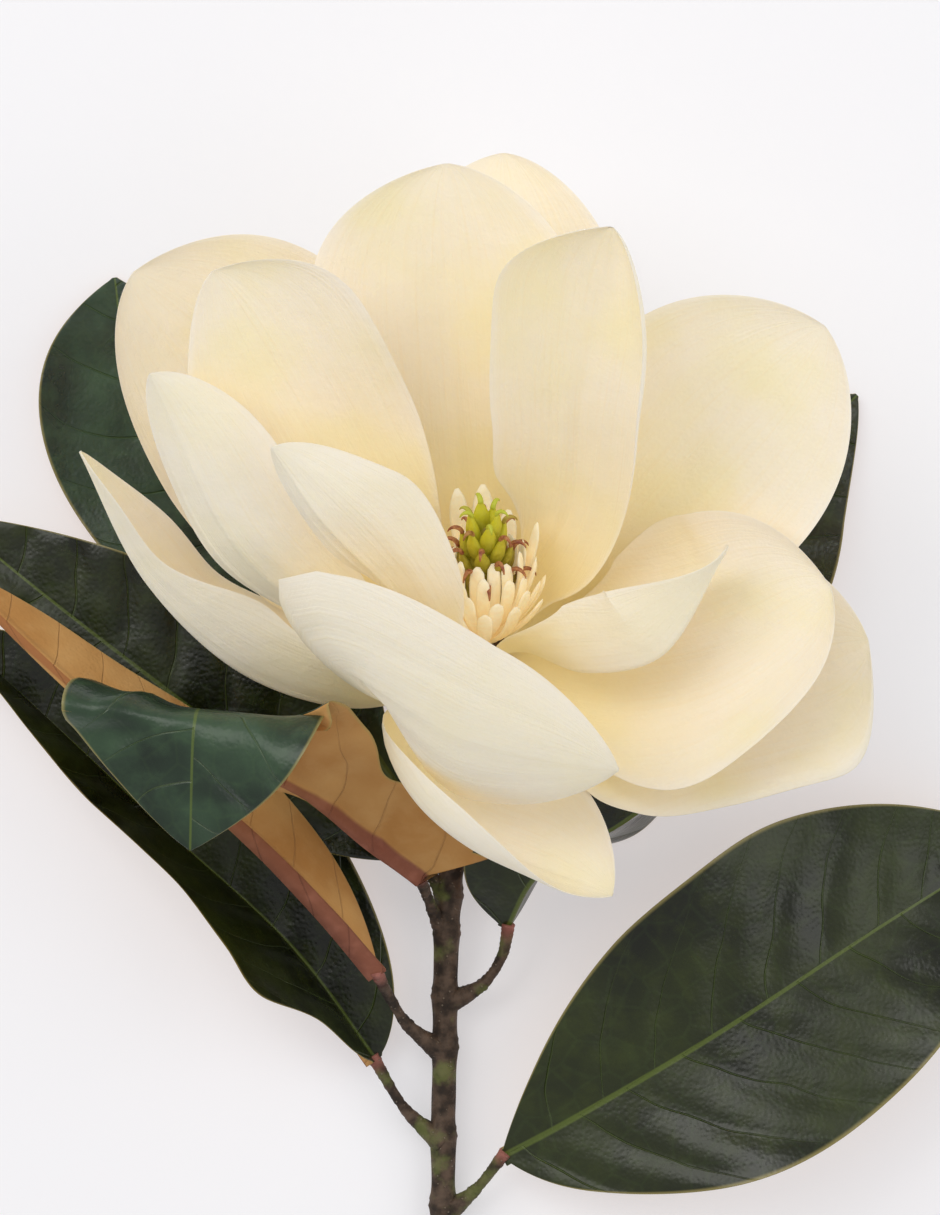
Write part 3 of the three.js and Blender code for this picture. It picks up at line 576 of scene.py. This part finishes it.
# %% Make the leaves
MIDRIB_HEIGHT = 3.2
MIDRIB_HALF_WIDTH = 2.8
VEIN_STEP = 20.0  # mm along the midrib from one side vein to the next
LEAF_OWN = {spec["name"]: index / len(LEAVES) for index, spec in enumerate(LEAVES)}  # from 0 to 7/8


def leaf_thickness(s, a):
    """Thickness in mm, where a is the size of v: it thins out to the margin, and is even along share
    s."""
    return 0.9 - 0.25 * a + 0 * s


def leaf_half_width(spec, s):
    """Half the width at share s: the sine of pi times s to a power that puts its top at the widest share,
    all to the power 0.82, and at the base never narrower than the midrib."""
    power = math.log(0.5) / math.log(spec["widest"])
    oval = np.sin(math.pi * np.clip(s, 0, 1) ** power) ** 0.82
    return np.maximum(spec["width"] / 2 * oval, MIDRIB_HALF_WIDTH * (1 - s) + 0.6)


def vein_place(s, v, wide, length):
    """How many side veins up the midrib a point is: its way along, less 0.45 of its way aside and a part
    that grows with the square of that, over the step between veins. The right half is half a step
    behind."""
    return (s * length - 0.45 * wide - 0.009 * wide**2) / VEIN_STEP + np.where(v < 0, 0.5, 0.0)


def leaf_lift(spec):
    """Ripples of the margin, as in the CAD leaf, plus a puff between side veins: the size of the sine of
    pi times the vein place, which is nothing on a vein, to the power 0.8 and less 0.6. It fades at the
    margin, the midrib, the base and the tip."""

    def lift(s, v, wide, length):
        phase = 2 * math.pi * (2.6 * s + np.where(v < 0, 0.35, 0))
        ripple = spec["wave"] * np.sin(phase) * v**2 * np.sin(math.pi * s)
        puff = np.abs(np.sin(math.pi * vein_place(s, v, wide, length))) ** 0.8
        where = (1 - v**6) * np.minimum(wide / 6, 1) * np.minimum(np.minimum(s, 1 - s) * 8, 1)
        up = -1 if spec["face"][0][2] < 0 else 1
        size = 1.3 + 0.6 * np.sin(5.3 * s + 4 * v + spec["width"])
        return ripple + size * (puff - 0.6) * where * up

    return lift


def midrib(s, wide):
    """The rib under a leaf in mm: a parabola across, as tall as the midrib is at that share."""
    return MIDRIB_HEIGHT * (1 - 0.85 * s) * np.maximum(0, 1 - (wide / MIDRIB_HALF_WIDTH) ** 2)


for spec in LEAVES:
    x = np.linspace(0, 1, 121)
    shares = 0.5 * (x + (1 - np.cos(math.pi * x)) / 2)
    end, before = np.array(spec["twig"][-1]), np.array(spec["twig"][-2])
    seat = end - unit(end - before) * 1.5
    half = leaf_half_width(spec, shares)
    grid, values, wide, length = blade_grid(
        spec, seat, half, leaf_thickness, leaf_lift(spec), shares, 112, rib=midrib)
    vein = vein_place(values["along"], values["aside"], wide, length)
    body = tube_arrays(above_table(grid), dict(values, vein=vein, wide=wide, own=LEAF_OWN[spec["name"]]))
    make_piece("leaf_skin_" + spec["name"], [body], leaf_skin, "leaf_" + spec["name"])

# %% [markdown]
# ## Stem and stalks
# The stem is a circle carried along a curve, and its radius carries the detail: it swells at each node,
# where a ring shaped scar goes round under every stalk, and it is never quite round. Each stalk flares
# where it leaves the stem and thickens again at the leaf.

# %% Make the stem
STEM_LINE = np.array([
    [-6, -310, 4.1, 4.2], [-7.5, -260, 4.6, 3.9], [-8.4, -200, 5.5, 3.8], [-8.2, -150, 7, 3.8],
    [-7.5, -112, 10, 3.8], [-6.5, -88, 14, 3.8], [-3, -62, 22, 4.1], [1.5, -40, 33, 5]])


def tube_grid(points, radii, rows, ring, detail):
    """A circle carried along a curve: at each row the centre plus the radius times cosine and sine of an
    even turn along two directions square to the curve. detail adds mm to the radius by share, turn and y
    in mm."""
    shares = np.linspace(0, 1, rows)
    at, ahead, place, _ = run_along(points, shares)
    side = unit(np.cross(ahead, [0.0, 0.0, 1.0]))
    up = np.cross(side, ahead)
    turn = even_turn(ring)[None, :]
    radius = spread(radii, place / (len(points) - 1))[:, None]
    radius = radius + detail(shares[:, None], turn, at[:, 1:2])
    aside, above = radius * np.cos(turn), radius * np.sin(turn)
    grid = at[:, None] + side[:, None] * aside[..., None] + up[:, None] * above[..., None]
    return above_table(grid), shares


def bark_lumps(rng, size):
    """Unevenness of bark in mm: six waves round and along, each with its own count, start and share of
    the size."""
    beats = rng.integers(1, 5, 6)
    longs = rng.uniform(20, 160, 6)
    starts = rng.uniform(0, 2 * math.pi, 6)

    def lumps(s, turn, y):
        return sum(size / 3 * np.sin(b * turn + g * s + p) for b, g, p in zip(beats, longs, starts))

    return lumps


BARE_NODES = [-232.0, -262.0]  # y in mm where leaves have dropped off
NODE_Y = [spec["twig"][0][1] + 2.0 for spec in LEAVES] + BARE_NODES


def stem_detail(s, turn, y):
    """Lumps, plus at each node a swelling about 7 mm long with two sharp rings 1 mm long on it."""
    made = bark_lumps(np.random.default_rng(3), 0.16)(s, turn, y)
    for node_y in NODE_Y:
        away = np.where(s < 0.86, y - node_y, 99.0)
        made = made + 0.55 * bell(away, 4) + 0.35 * bell(away, 0.7) + 0.25 * bell(away - 2.6, 0.6)
    return made


points = np.vstack([STEM_LINE[:, :3], BLOOM_SEAT, up_bloom(TORUS_HEIGHT / 2), up_bloom(TORUS_HEIGHT)])
radii = [*STEM_LINE[:, 3], TORUS_RADIUS, TORUS_RADIUS, TORUS_RADIUS - 1]
grid, shares = tube_grid(points, radii, 420, 28, stem_detail)
bodies = [tube_arrays(grid, dict(along=shares[:, None], young=0.25 * (shares[:, None] > 0.85)))]
for index, spec in enumerate(LEAVES):
    path = np.array(spec["twig"], float)
    path = np.vstack([path[:-1], path[-1] + unit(path[-1] - path[-2]) * 0.3])
    flare = np.concatenate([[3.0], np.full(len(path) - 1, 2.1)])
    lumps = bark_lumps(np.random.default_rng(50 + index), 0.14)

    def stalk_detail(s, turn, y, lumps=lumps):
        """Lumps, a flare over the first third and a waist in the middle, with two ring scars."""
        rings = 0.3 * bell(s - 0.36, 0.02) + 0.25 * bell(s - 0.42, 0.015)
        return lumps(s, turn, y) + 0.9 * bell(s, 0.3) - 0.5 * np.sin(math.pi * s) + rings

    grid, shares = tube_grid(path, flare, 64, 18, stalk_detail)
    bodies.append(tube_arrays(grid, dict(along=shares[:, None], young=shares[:, None] ** 1.5)))
make_piece("stem_bark", bodies, bark_skin, "stem")

# %% [markdown]
# ## Stamens and carpels
# Both are the same idea: a small organ repeated round an axis. One organ is a strap or a teardrop with a
# path that leans more or less as it goes, and all copies are worked out in one array with the organ as
# its first axis. Stamens stand in rows, with four broad ones over them. Carpels follow the golden angle,
# which is how the real cone packs them.

# %% Organ helpers
GOLDEN_SHARE = 0.618
GOLDEN_TURN = 137.5  # in degrees
def organs(roots, lengths, leans, widths, depths, rows, ring):
    """Many copies of one organ. roots holds their radii, heights and turns, leans their lean from upright
    at the root and the tip in degrees, and widths and depths their half sizes in mm at each row. The
    middle of a copy is the running sum of steps in the leaning direction, and a ring round it has cosine
    by depth and sine by width. What is alike in all copies is given once. Returns points of shape copies,
    rows, ring, 3."""
    t = np.linspace(0, 1, rows)
    lean = np.radians(leans[:, :1] + (leans[:, 1:] - leans[:, :1]) * t)
    step = (lengths / (rows - 1))[:, None]
    run_x, run_z = (np.cumsum(f(lean) * step, axis=1) - f(lean) * step for f in (np.sin, np.cos))
    turn = even_turn(ring)
    out = np.cos(turn) * depths[..., None]
    radii, heights, turns = (np.broadcast_to(a, lengths.shape)[:, None, None] for a in roots)
    x = radii + run_x[..., None] + out * np.cos(lean)[..., None]
    z = heights + run_z[..., None] - out * np.sin(lean)[..., None]
    y = np.broadcast_to(np.sin(turn) * widths[..., None], x.shape)
    return onto_bloom(np.stack([x, y, z], -1), turns)


def organ_bodies(points, values):
    """Closed bodies of the copies, each with the values at its rows, and own, a number of its own from 0
    to 1 unless values gives one."""
    bodies = []
    shape = points.shape[:2]
    for i, grid in enumerate(points):
        given = {key: np.broadcast_to(value, shape)[i][:, None] for key, value in values.items()}
        bodies.append(tube_arrays(grid, {"own": (i * GOLDEN_SHARE) % 1, **given}))
    return bodies


def lathe_body(profile, ring, values):
    """A profile of radius and height pairs, turned about the bloom's axis."""
    turn = np.arange(ring) * 360 / ring
    pairs = np.asarray(profile, float)
    flat = np.stack([pairs[:, 0], 0 * pairs[:, 0], pairs[:, 1]], -1)[:, None].repeat(ring, 1)
    return tube_arrays(onto_bloom(flat, turn[None, :]), values)


print("one golden turn:", GOLDEN_TURN, "degrees")

# %% Make the stamens
DRUM_RADIUS = 6.5
DRUM_LOW = TORUS_HEIGHT + 0.3
DRUM_HIGH = DRUM_LOW + 11
STAMEN_ROWS = 4
ROW_STAMENS = 12
STAMEN_LENGTH = 25
TONGUES = np.array([[18, 35], [63, 33], [92, 40], [118, 40]], float)  # turn in degrees, length in mm

rng = np.random.default_rng(7)
row, place = (a.ravel() for a in np.meshgrid(range(STAMEN_ROWS), range(ROW_STAMENS), indexing="ij"))
count = len(row)
turns = (place + 0.5 * (row % 2)) * 360 / ROW_STAMENS + rng.uniform(-4, 4, count)
roots = (DRUM_RADIUS - 1.2, DRUM_LOW + 1.6 + row * 2.4, turns)
lengths = STAMEN_LENGTH * rng.uniform(0.9, 1.04, count)
leans = np.array([[50, 14], [44, 6], [38, -4], [32, -14]])[row]
to_right = np.maximum(np.cos(np.radians(turns)), 0)
to_back = np.maximum(np.sin(np.radians(turns)), 0)
tilt = 2 * to_right - (14 - 4 * row) * to_back
leans = leans + tilt[:, None] + rng.uniform(-1, 1, (count, 2)) * [3, 8]
t = np.linspace(0, 1, 15)
outline = np.interp(t, [0, 0.25, 0.75, 0.9, 0.96, 1], [0.55, 0.85, 1.0, 0.92, 0.72, 0.25])
widths = 2.4 * outline * rng.uniform(0.85, 1.08, (count, 1))
depths = 0.9 * np.interp(t, [0, 0.5, 0.9, 1], [1, 0.95, 0.7, 0.1])
grids = organs(roots, lengths, leans, widths, depths, 15, 8)
bodies = organ_bodies(grids, dict(along=t))
roots = (DRUM_RADIUS - 1.2, DRUM_LOW + 5, TONGUES[:, 0])
widths = 3.3 * np.interp(t, [0, 0.3, 0.75, 0.9, 1], [0.5, 0.8, 1, 0.85, 0.2])
grids = organs(roots, TONGUES[:, 1], np.array([[30, 6]]), widths, 0.9 * depths, 15, 8)
bodies += organ_bodies(grids, dict(along=t))
drum = [[0.5, DRUM_LOW], [DRUM_RADIUS - 1, DRUM_LOW], [DRUM_RADIUS, DRUM_LOW + 2],
        [DRUM_RADIUS, DRUM_HIGH], [0.5, DRUM_HIGH]]
bodies.append(lathe_body(drum, 28, dict(along=0.0, own=0.5)))
make_piece("stamen_straps", bodies, stamen_skin, "stamens")

# %% Make the carpels
CONE_LOW = DRUM_HIGH + 0.3
CONE_RADIUS = 7.0
CARPELS = 28
share = (np.arange(CARPELS) + 0.5) / CARPELS
turns = np.arange(CARPELS) * GOLDEN_TURN
radius = CONE_RADIUS * (1 - 0.6 * share**2) - 1.4
roots = (radius, CONE_LOW + 3 + 22 * share, turns)
leans = np.stack([34 - 18 * share, 20 - 16 * share], -1)
t = np.linspace(0, 1, 12)
body = np.interp(t, [0, 0.3, 0.6, 0.85, 1], [0.75, 1.0, 0.9, 0.5, 0.22])
grow = (0.85 + 0.3 * share)[:, None]
grids = organs(roots, 9.5 + 2 * share, leans, 2.6 * body * grow, 1.7 * body * grow, 12, 10)
bodies = organ_bodies(grids, dict(along=0.7 * t, own=share[:, None]))
tips = grids[:, -1].mean(1)
local = (tips - BLOOM_SEAT) @ bloom_turn
tip_turns = np.degrees(np.arctan2(local[:, 1], local[:, 0]))
roots = (np.hypot(local[:, 0], local[:, 1]) - 0.3, local[:, 2] - 0.3, tip_turns)
leans = np.stack([leans[:, 1] + 5, leans[:, 1] + 165], -1)
hook = np.interp(t, [0, 0.5, 1], [1.0, 0.8, 0.25])
grids = organs(roots, 8 - 3 * share, leans, 0.95 * hook, 0.7 * hook, 12, 8)
bodies += organ_bodies(grids, dict(along=0.8 + 0.2 * t, own=share[:, None]))
cone = [[0.5, CONE_LOW], [CONE_RADIUS - 0.8, CONE_LOW], [CONE_RADIUS, CONE_LOW + 4],
        [CONE_RADIUS * 0.85, CONE_LOW + 15], [CONE_RADIUS * 0.5, CONE_LOW + 23], [0.5, CONE_LOW + 28.6]]
bodies.append(lathe_body(cone, 24, dict(along=0.1, own=0.5)))
make_piece("carpel_cone", bodies, carpel_skin, "carpels")

# %% [markdown]
# ## Materials from nodes
# A material is a small graph: it reads where a point lies on its piece, turns that into masks, and mixes
# colours and heights by them. Two effects serve several materials, so each is a node group, built once.
# Mottle gives soft blotches at one size with finer ones inside. Side veins turns the leaf's vein place
# and its distance from the midrib into masks that are 1 on the veins, the midrib and the fine net
# between.

# %% Node helpers
def colour(text):
    """A screen colour such as f4ebd0 as the linear light that a shader takes."""
    c = np.array([int(text[k:k + 2], 16) / 255 for k in (0, 2, 4)])
    c = np.where(c <= 0.04045, c / 12.92, ((c + 0.055) / 1.055) ** 2.4)
    return (*c.tolist(), 1.0)


class Graph:
    """A node tree with short ways to add and join nodes. Anything passed in is a number, a socket or a
    screen colour written as a text."""

    def __init__(self, tree):
        self.tree = tree
        tree.nodes.clear()

    def node(self, kind, inputs=(), **settings):
        """A shader node with its settings, and its inputs by name or number set or joined."""
        made = self.tree.nodes.new("ShaderNode" + kind)
        for key, value in settings.items():
            setattr(made, key, value)
        for key, value in dict(inputs).items():
            self.join(value, made.inputs[key])
        return made

    def join(self, value, socket):
        """Join a socket to another, or set it."""
        if isinstance(value, bpy.types.NodeSocket):
            self.tree.links.new(value, socket)
        elif value is not None:
            socket.default_value = colour(value) if isinstance(value, str) else value

    def maths(self, operation, a, b=None, c=None):
        """The result of a sum on up to three values."""
        made = self.node("Math", operation=operation)
        for socket, value in zip(made.inputs, (a, b, c)):
            self.join(value, socket)
        return made.outputs[0]

    def times(self, a, b):
        """One value times another."""
        return self.maths("MULTIPLY", a, b)

    def ramp(self, value, low, high, to_low=0.0, to_high=1.0):
        """A smooth step: to_low at low and under, to_high at high and over."""
        made = self.node("MapRange", interpolation_type="SMOOTHSTEP")
        for socket, number in zip(made.inputs, (value, low, high, to_low, to_high)):
            self.join(number, socket)
        return made.outputs[0]

    def mix(self, factor, a, b):
        """Colour a where the factor is 0, and colour b where it is 1."""
        return self.node("Mix", {0: factor, 6: a, 7: b}, data_type="RGBA").outputs[2]

    def wash(self, base, mask, amount, over):
        """A colour laid over the base where the mask is, as strong as the amount."""
        return self.mix(self.times(mask, amount), base, over)

    def value(self, name):
        """A value that the mesh carries at each point."""
        return self.node("Attribute", attribute_name=name).outputs["Fac"]

    def place(self):
        """The point in the object's own metres."""
        return self.node("TexCoord").outputs["Object"]

    def use(self, group, inputs):
        """A shader node group with its inputs set."""
        made = self.node("Group", node_tree=group)
        for key, value in inputs.items():
            self.join(value, made.inputs[key])
        return made

    def blotches(self, scale, detail, low, high):
        """The mottle group's mask at the point's own place."""
        numbers = dict(Scale=float(scale), Detail=float(detail), Low=low, High=high)
        return self.use(mottle, {"Vector": self.place(), **numbers}).outputs[0]

    def finish(self, skin, roughness, height, strength, distance, glow=0.0, soft=(), **more):
        """A Principled shader with a colour, a roughness, a bump from a height, and more of its sockets
        set. glow is the share of its colour that it gives off. soft is the weight, the reach in metres
        and the share in red, green and blue of the light that goes in and comes out again."""
        bump = self.node("Bump", {"Strength": strength, "Distance": distance, "Height": height})
        more = {key.replace("_", " "): value for key, value in more.items()}
        more.update(zip(("Subsurface Weight", "Subsurface Scale", "Subsurface Radius"), soft))
        if glow:
            more.update({"Emission Color": skin, "Emission Strength": glow})
        shader = self.node("BsdfPrincipled", {
            "Base Color": skin, "Roughness": roughness, "Normal": bump.outputs[0], **more})
        self.node("OutputMaterial", {"Surface": shader.outputs[0]})


def new_group(name, inputs, outputs):
    """An empty node group with named value inputs, one vector named Vector if asked for, and value
    outputs."""
    made = bpy.data.node_groups.new(name, "ShaderNodeTree")
    graph = Graph(made)
    for key, default in inputs.items():
        kind = "NodeSocketVector" if default is None else "NodeSocketFloat"
        socket = made.interface.new_socket(name=key, in_out="INPUT", socket_type=kind)
        if default is not None:
            socket.default_value = default
    for key in outputs:
        made.interface.new_socket(name=key, in_out="OUTPUT", socket_type="NodeSocketFloat")
    return graph, made.nodes.new("NodeGroupInput").outputs, made.nodes.new("NodeGroupOutput").inputs


print("a cream in linear light:", np.round(colour("f4ebd0"), 3).tolist())

# %% Node groups
graph, given, out = new_group(
    "mottle", {"Vector": None, "Scale": 20.0, "Detail": 4.0, "Low": 0.35, "High": 0.65}, ["Mask"])
noise = graph.node("TexNoise", {key: given[key] for key in ("Vector", "Scale", "Detail")})
graph.join(graph.ramp(noise.outputs[0], given["Low"], given["High"]), out["Mask"])
mottle = graph.tree

graph, given, out = new_group(
    "side veins", {"Vector": None, "Vein": 0.0, "Wide": 0.0, "Along": 0.0, "Width": 0.06},
    ["Veins", "Midrib", "Branch"])
drift = graph.node("TexNoise", {"Vector": given["Vector"], "Scale": 22.0, "Detail": 2.0})
drift = drift.outputs[0]
bent = graph.maths("MULTIPLY_ADD", graph.maths("SUBTRACT", drift, 0.5), 0.9, given["Vein"])
part = graph.maths("FRACT", bent)
near = graph.maths("MINIMUM", part, graph.maths("SUBTRACT", 1.0, part))
fade = graph.ramp(given["Wide"], 8.0, 42.0, 1.0, 0.25)
graph.join(graph.times(graph.ramp(near, 0.0, given["Width"], 1.0, 0.0), fade), out["Veins"])
slim = graph.ramp(given["Along"], 0.0, 1.0, 1.25, 0.45)
graph.join(graph.ramp(graph.maths("DIVIDE", given["Wide"], slim), 0.55, 1.1, 1.0, 0.0), out["Midrib"])
net = graph.node("TexVoronoi", {"Vector": given["Vector"], "Scale": 95.0},
                 feature="DISTANCE_TO_EDGE")
graph.join(graph.ramp(net.outputs[0], 0.01, 0.07, 1.0, 0.0), out["Branch"])
side_veins = graph.tree
print("node groups:", [g.name for g in bpy.data.node_groups])

# %% [markdown]
# ## Petal skin
# A petal is cream with a paler, slightly grey back. Warm yellow lies deep in the cup and low on the back:
# partly its own tint, partly a painted glow of light that passes through and between the petals. Fine ribs
# run along it from the claw, and soft lemon patches lie on it. Light goes into it and comes out again
# nearby, so it takes some subsurface, and its sheen is low. A very slight glow of its own stands for light
# that passes right through.

# %% Petal skin material
g = Graph(petal_skin.node_tree)
along, aside, inner, own = (g.value(k) for k in ("along", "aside", "inner", "own"))
edge = g.maths("ABSOLUTE", aside)
# Warm yellow deep in the cup: partly the petal's own tint, partly a painted glow of light passing through
# and between the petals.
deep_tint_and_glow = g.ramp(along, 0.05, 0.7, 1.0, 0.0)
inside = g.mix(deep_tint_and_glow, "fbecd4", "fbe8b4")
# Warm yellow low on the back: partly the petal's own tint, partly a painted glow of light coming through
# the petal.
outside = g.mix(g.ramp(along, 0.1, 0.5, 1.0, 0.0), "f7edd8", "f9e6ac")
skin = g.mix(inner, outside, inside)
blotch = g.blotches(26, 4, 0.38, 0.7)
skin = g.wash(skin, blotch, g.maths("MULTIPLY_ADD", inner, 0.2, 0.22), "f7e7a8")
skin = g.wash(skin, g.ramp(edge, 0.86, 0.99), 0.35, "faf3e2")
fan = g.times(aside, g.ramp(along, 0.0, 0.6, 12.0, 34.0))
fan = g.node("CombineXYZ", {0: fan, 1: g.times(along, 2.6), 2: g.times(own, 40.0)}).outputs[0]
ribs = g.node("TexNoise", {"Vector": fan, "Scale": 1.0, "Detail": 5.0, "Roughness": 0.65})
ribs = ribs.outputs[0]
skin = g.wash(skin, g.ramp(ribs, 0.45, 0.75), 0.22, "efdcae")
grain = g.blotches(900, 2, 0.3, 0.7)
dents = g.blotches(60, 3, 0.3, 0.7)
height = g.maths("ADD", g.times(ribs, 0.5), g.times(grain, 0.1))
height = g.maths("ADD", height, g.times(dents, 0.5))
g.finish(skin, g.ramp(blotch, 0.0, 1.0, 0.5, 0.6), height, 0.6, 0.0009, glow=0.07,
         soft=(0.3, 0.004, (1.0, 0.8, 0.5)), Specular_IOR_Level=0.35, Sheen_Weight=0.08)
print("petal skin nodes:", len(petal_skin.node_tree.nodes))

# %% [markdown]
# ## Leaf skin
# Above, a leaf is dark green and glossy over a fine pebble grain, with lighter veins and midrib and dull
# blotches where the wax has rubbed. Most leaves are olive, and two are bluer and lighter: partly their own
# hue, partly a painted sheen for the broad grey gloss on them. Below, a leaf is covered in tan felt, with a
# pink midrib and veins that stand out. The leaf that folds over shows the midrib at its broadest.

# %% Leaf skin material
g = Graph(leaf_skin.node_tree)
along, aside, upper = (g.value(k) for k in ("along", "aside", "inner"))
own, vein, wide = (g.value(k) for k in ("own", "vein", "wide"))
veins = g.use(side_veins, {"Vector": g.place(), "Vein": vein, "Wide": wide, "Along": along, "Width": 0.024})
line, rib, branch = (veins.outputs[k] for k in ("Veins", "Midrib", "Branch"))
big = g.blotches(26, 2, 0.35, 0.68)
small = g.blotches(140, 4, 0.42, 0.72)
folded = g.maths("COMPARE", own, LEAF_OWN["left_folded"], 0.01)
# The folded leaf and the back left one are bluer and lighter: partly their own hue, partly a painted sheen.
bluer_and_sheen = g.maths("ADD", folded, g.maths("COMPARE", own, LEAF_OWN["back_left"], 0.01))
green = g.mix(big, g.mix(bluer_and_sheen, "111403", "18261a"), g.mix(bluer_and_sheen, "272f05", "344c34"))
green = g.wash(green, small, 0.3, g.mix(bluer_and_sheen, "3b450d", "466242"))
green = g.wash(green, branch, 0.04, "5d7a3f")
green = g.wash(green, line, 0.3, "56692b")
green = g.wash(green, rib, 0.55, "66762a")
felt = g.mix(big, "b98446", "d2a262")
felt = g.wash(felt, small, 0.3, "d0a469")
felt = g.wash(felt, line, 0.3, "a8784a")
pink = g.mix(g.ramp(along, 0.1, 0.7), g.mix(small, "7e4438", "95584a"), "a3683c")
broad = g.maths("MULTIPLY_ADD", folded, 1.9, 0.75)
thin = g.maths("DIVIDE", wide, g.times(broad, g.ramp(along, 0.0, 0.6, 1.3, 0.35)))
felt = g.mix(g.ramp(thin, 0.9, 1.4, 0.9, 0.0), felt, pink)
skin = g.mix(upper, felt, green)
skin = g.mix(g.ramp(g.maths("ABSOLUTE", aside), 0.965, 0.995, 0.0, 0.6), skin, "a99a5c")
pebble = g.node("TexVoronoi", {"Vector": g.place(), "Scale": 800.0}, feature="SMOOTH_F1")
furrows = g.maths("SUBTRACT", g.times(big, 1.6), g.times(line, 0.8))
height = g.maths("ADD", g.times(pebble.outputs[0], 0.3), furrows)
dull = g.mix(big, (0.25, 0.25, 0.25, 1), (0.42, 0.42, 0.42, 1))
g.finish(skin, g.mix(upper, (0.9, 0.9, 0.9, 1), dull), height, 0.7, 0.0006, Specular_IOR_Level=0.5)
print("leaf skin nodes:", len(leaf_skin.node_tree.nodes))

# %% [markdown]
# ## Bark, stamens and carpels
# Young bark is grey brown with olive lichen and tiny pores, and turns pink towards each leaf. Stamens are
# cream and paler towards their tips. Carpels go from brown low on the cone to yellow green at its top,
# and their hooks are red brown, but for the topmost. Both organs are thin, so they too take a slight
# glow: painted light, which stands for light through them and brightens them in the bloom's shade.

# %% Bark material
g = Graph(bark_skin.node_tree)
young = g.value("young")
lichen = g.blotches(70, 6, 0.52, 0.64)
tone = g.blotches(240, 5, 0.3, 0.7)
skin = g.mix(tone, "281d14", "584434")
skin = g.wash(skin, lichen, 0.6, "6a7336")
skin = g.mix(g.ramp(young, 0.72, 1.0), skin, g.mix(tone, "8a5348", "a8695c"))
pores = g.node("TexVoronoi", {"Vector": g.place(), "Scale": 420.0}).outputs[0]
skin = g.mix(g.ramp(pores, 0.08, 0.18, 0.45, 0.0), skin, "9a8a76")
height = g.maths("ADD", tone, g.ramp(pores, 0.08, 0.2, 0.8, 0.0))
g.finish(skin, g.ramp(tone, 0.0, 1.0, 0.85, 0.65), height, 0.8, 0.0006)
print("bark nodes:", len(bark_skin.node_tree.nodes))

# %% Stamen material
g = Graph(stamen_skin.node_tree)
along, own = g.value("along"), g.value("own")
skin = g.mix(along, "f4dca4", "fff4d6")
streak = g.blotches(500, 3, 0.35, 0.7)
skin = g.wash(skin, streak, 0.25, "eed49a")
skin = g.wash(skin, own, 0.2, "fbf4e2")
# glow: painted light of their own, which brightens the stamens in the bloom's shade.
g.finish(skin, g.ramp(streak, 0.0, 1.0, 0.5, 0.62), streak, 0.4, 0.0002, glow=0.14,
         soft=(0.25, 0.002, (1.0, 0.8, 0.5)))
print("stamen nodes:", len(stamen_skin.node_tree.nodes))

# %% Carpel material
g = Graph(carpel_skin.node_tree)
along, own = g.value("along"), g.value("own")
fuzz = g.blotches(700, 3, 0.3, 0.7)
low = g.mix(fuzz, "765a16", "9e8228")
ripe = g.ramp(own, 0.15, 0.9)
skin = g.mix(g.ramp(along, 0.1, 0.6), g.mix(ripe, low, "928b12"), g.mix(ripe, low, "c6c024"))
hooks = g.mix(g.ramp(own, 0.7, 0.85), g.mix(fuzz, "7d3a28", "b0654a"), "b3bb36")
skin = g.mix(g.ramp(along, 0.66, 0.82), skin, hooks)
skin = g.wash(skin, fuzz, 0.2, "b8b552")
# glow: painted light of their own, which brightens the carpels in the bloom's shade.
g.finish(skin, g.ramp(fuzz, 0.0, 1.0, 0.45, 0.65), fuzz, 0.5, 0.0002, glow=0.12,
         soft=(0.15, 0.002, (0.7, 0.8, 0.3)))
print("carpel nodes:", len(carpel_skin.node_tree.nodes))

# %% [markdown]
# ## Table
# The floor is plain pale paper, lit a little from below as on a light table, so shadows on it stay thin.

# %% Table material
paper = stand_in("paper")
g = Graph(paper.node_tree)
cloud = g.blotches(3, 2, 0.3, 0.7)
g.finish(g.mix(cloud, "c4c3c5", "c8c7c9"), 0.9, cloud, 0.05, 0.0002, Emission_Color="f6f5f8",
         Emission_Strength=0.44)
table.data.materials.append(paper)
print("table material:", paper.name)

# %% [markdown]
# ## Size and finish
# The skin may stand a little proud of the CAD model and no more, so both boxes are kept side by side.

# %% Compare sizes and finish
skin_box = [list(corner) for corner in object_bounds()]
proud = (np.array(skin_box) - np.array(CAD_BOX)) * 1000
print("visual box minus CAD box in mm:", proud.round(2).tolist())
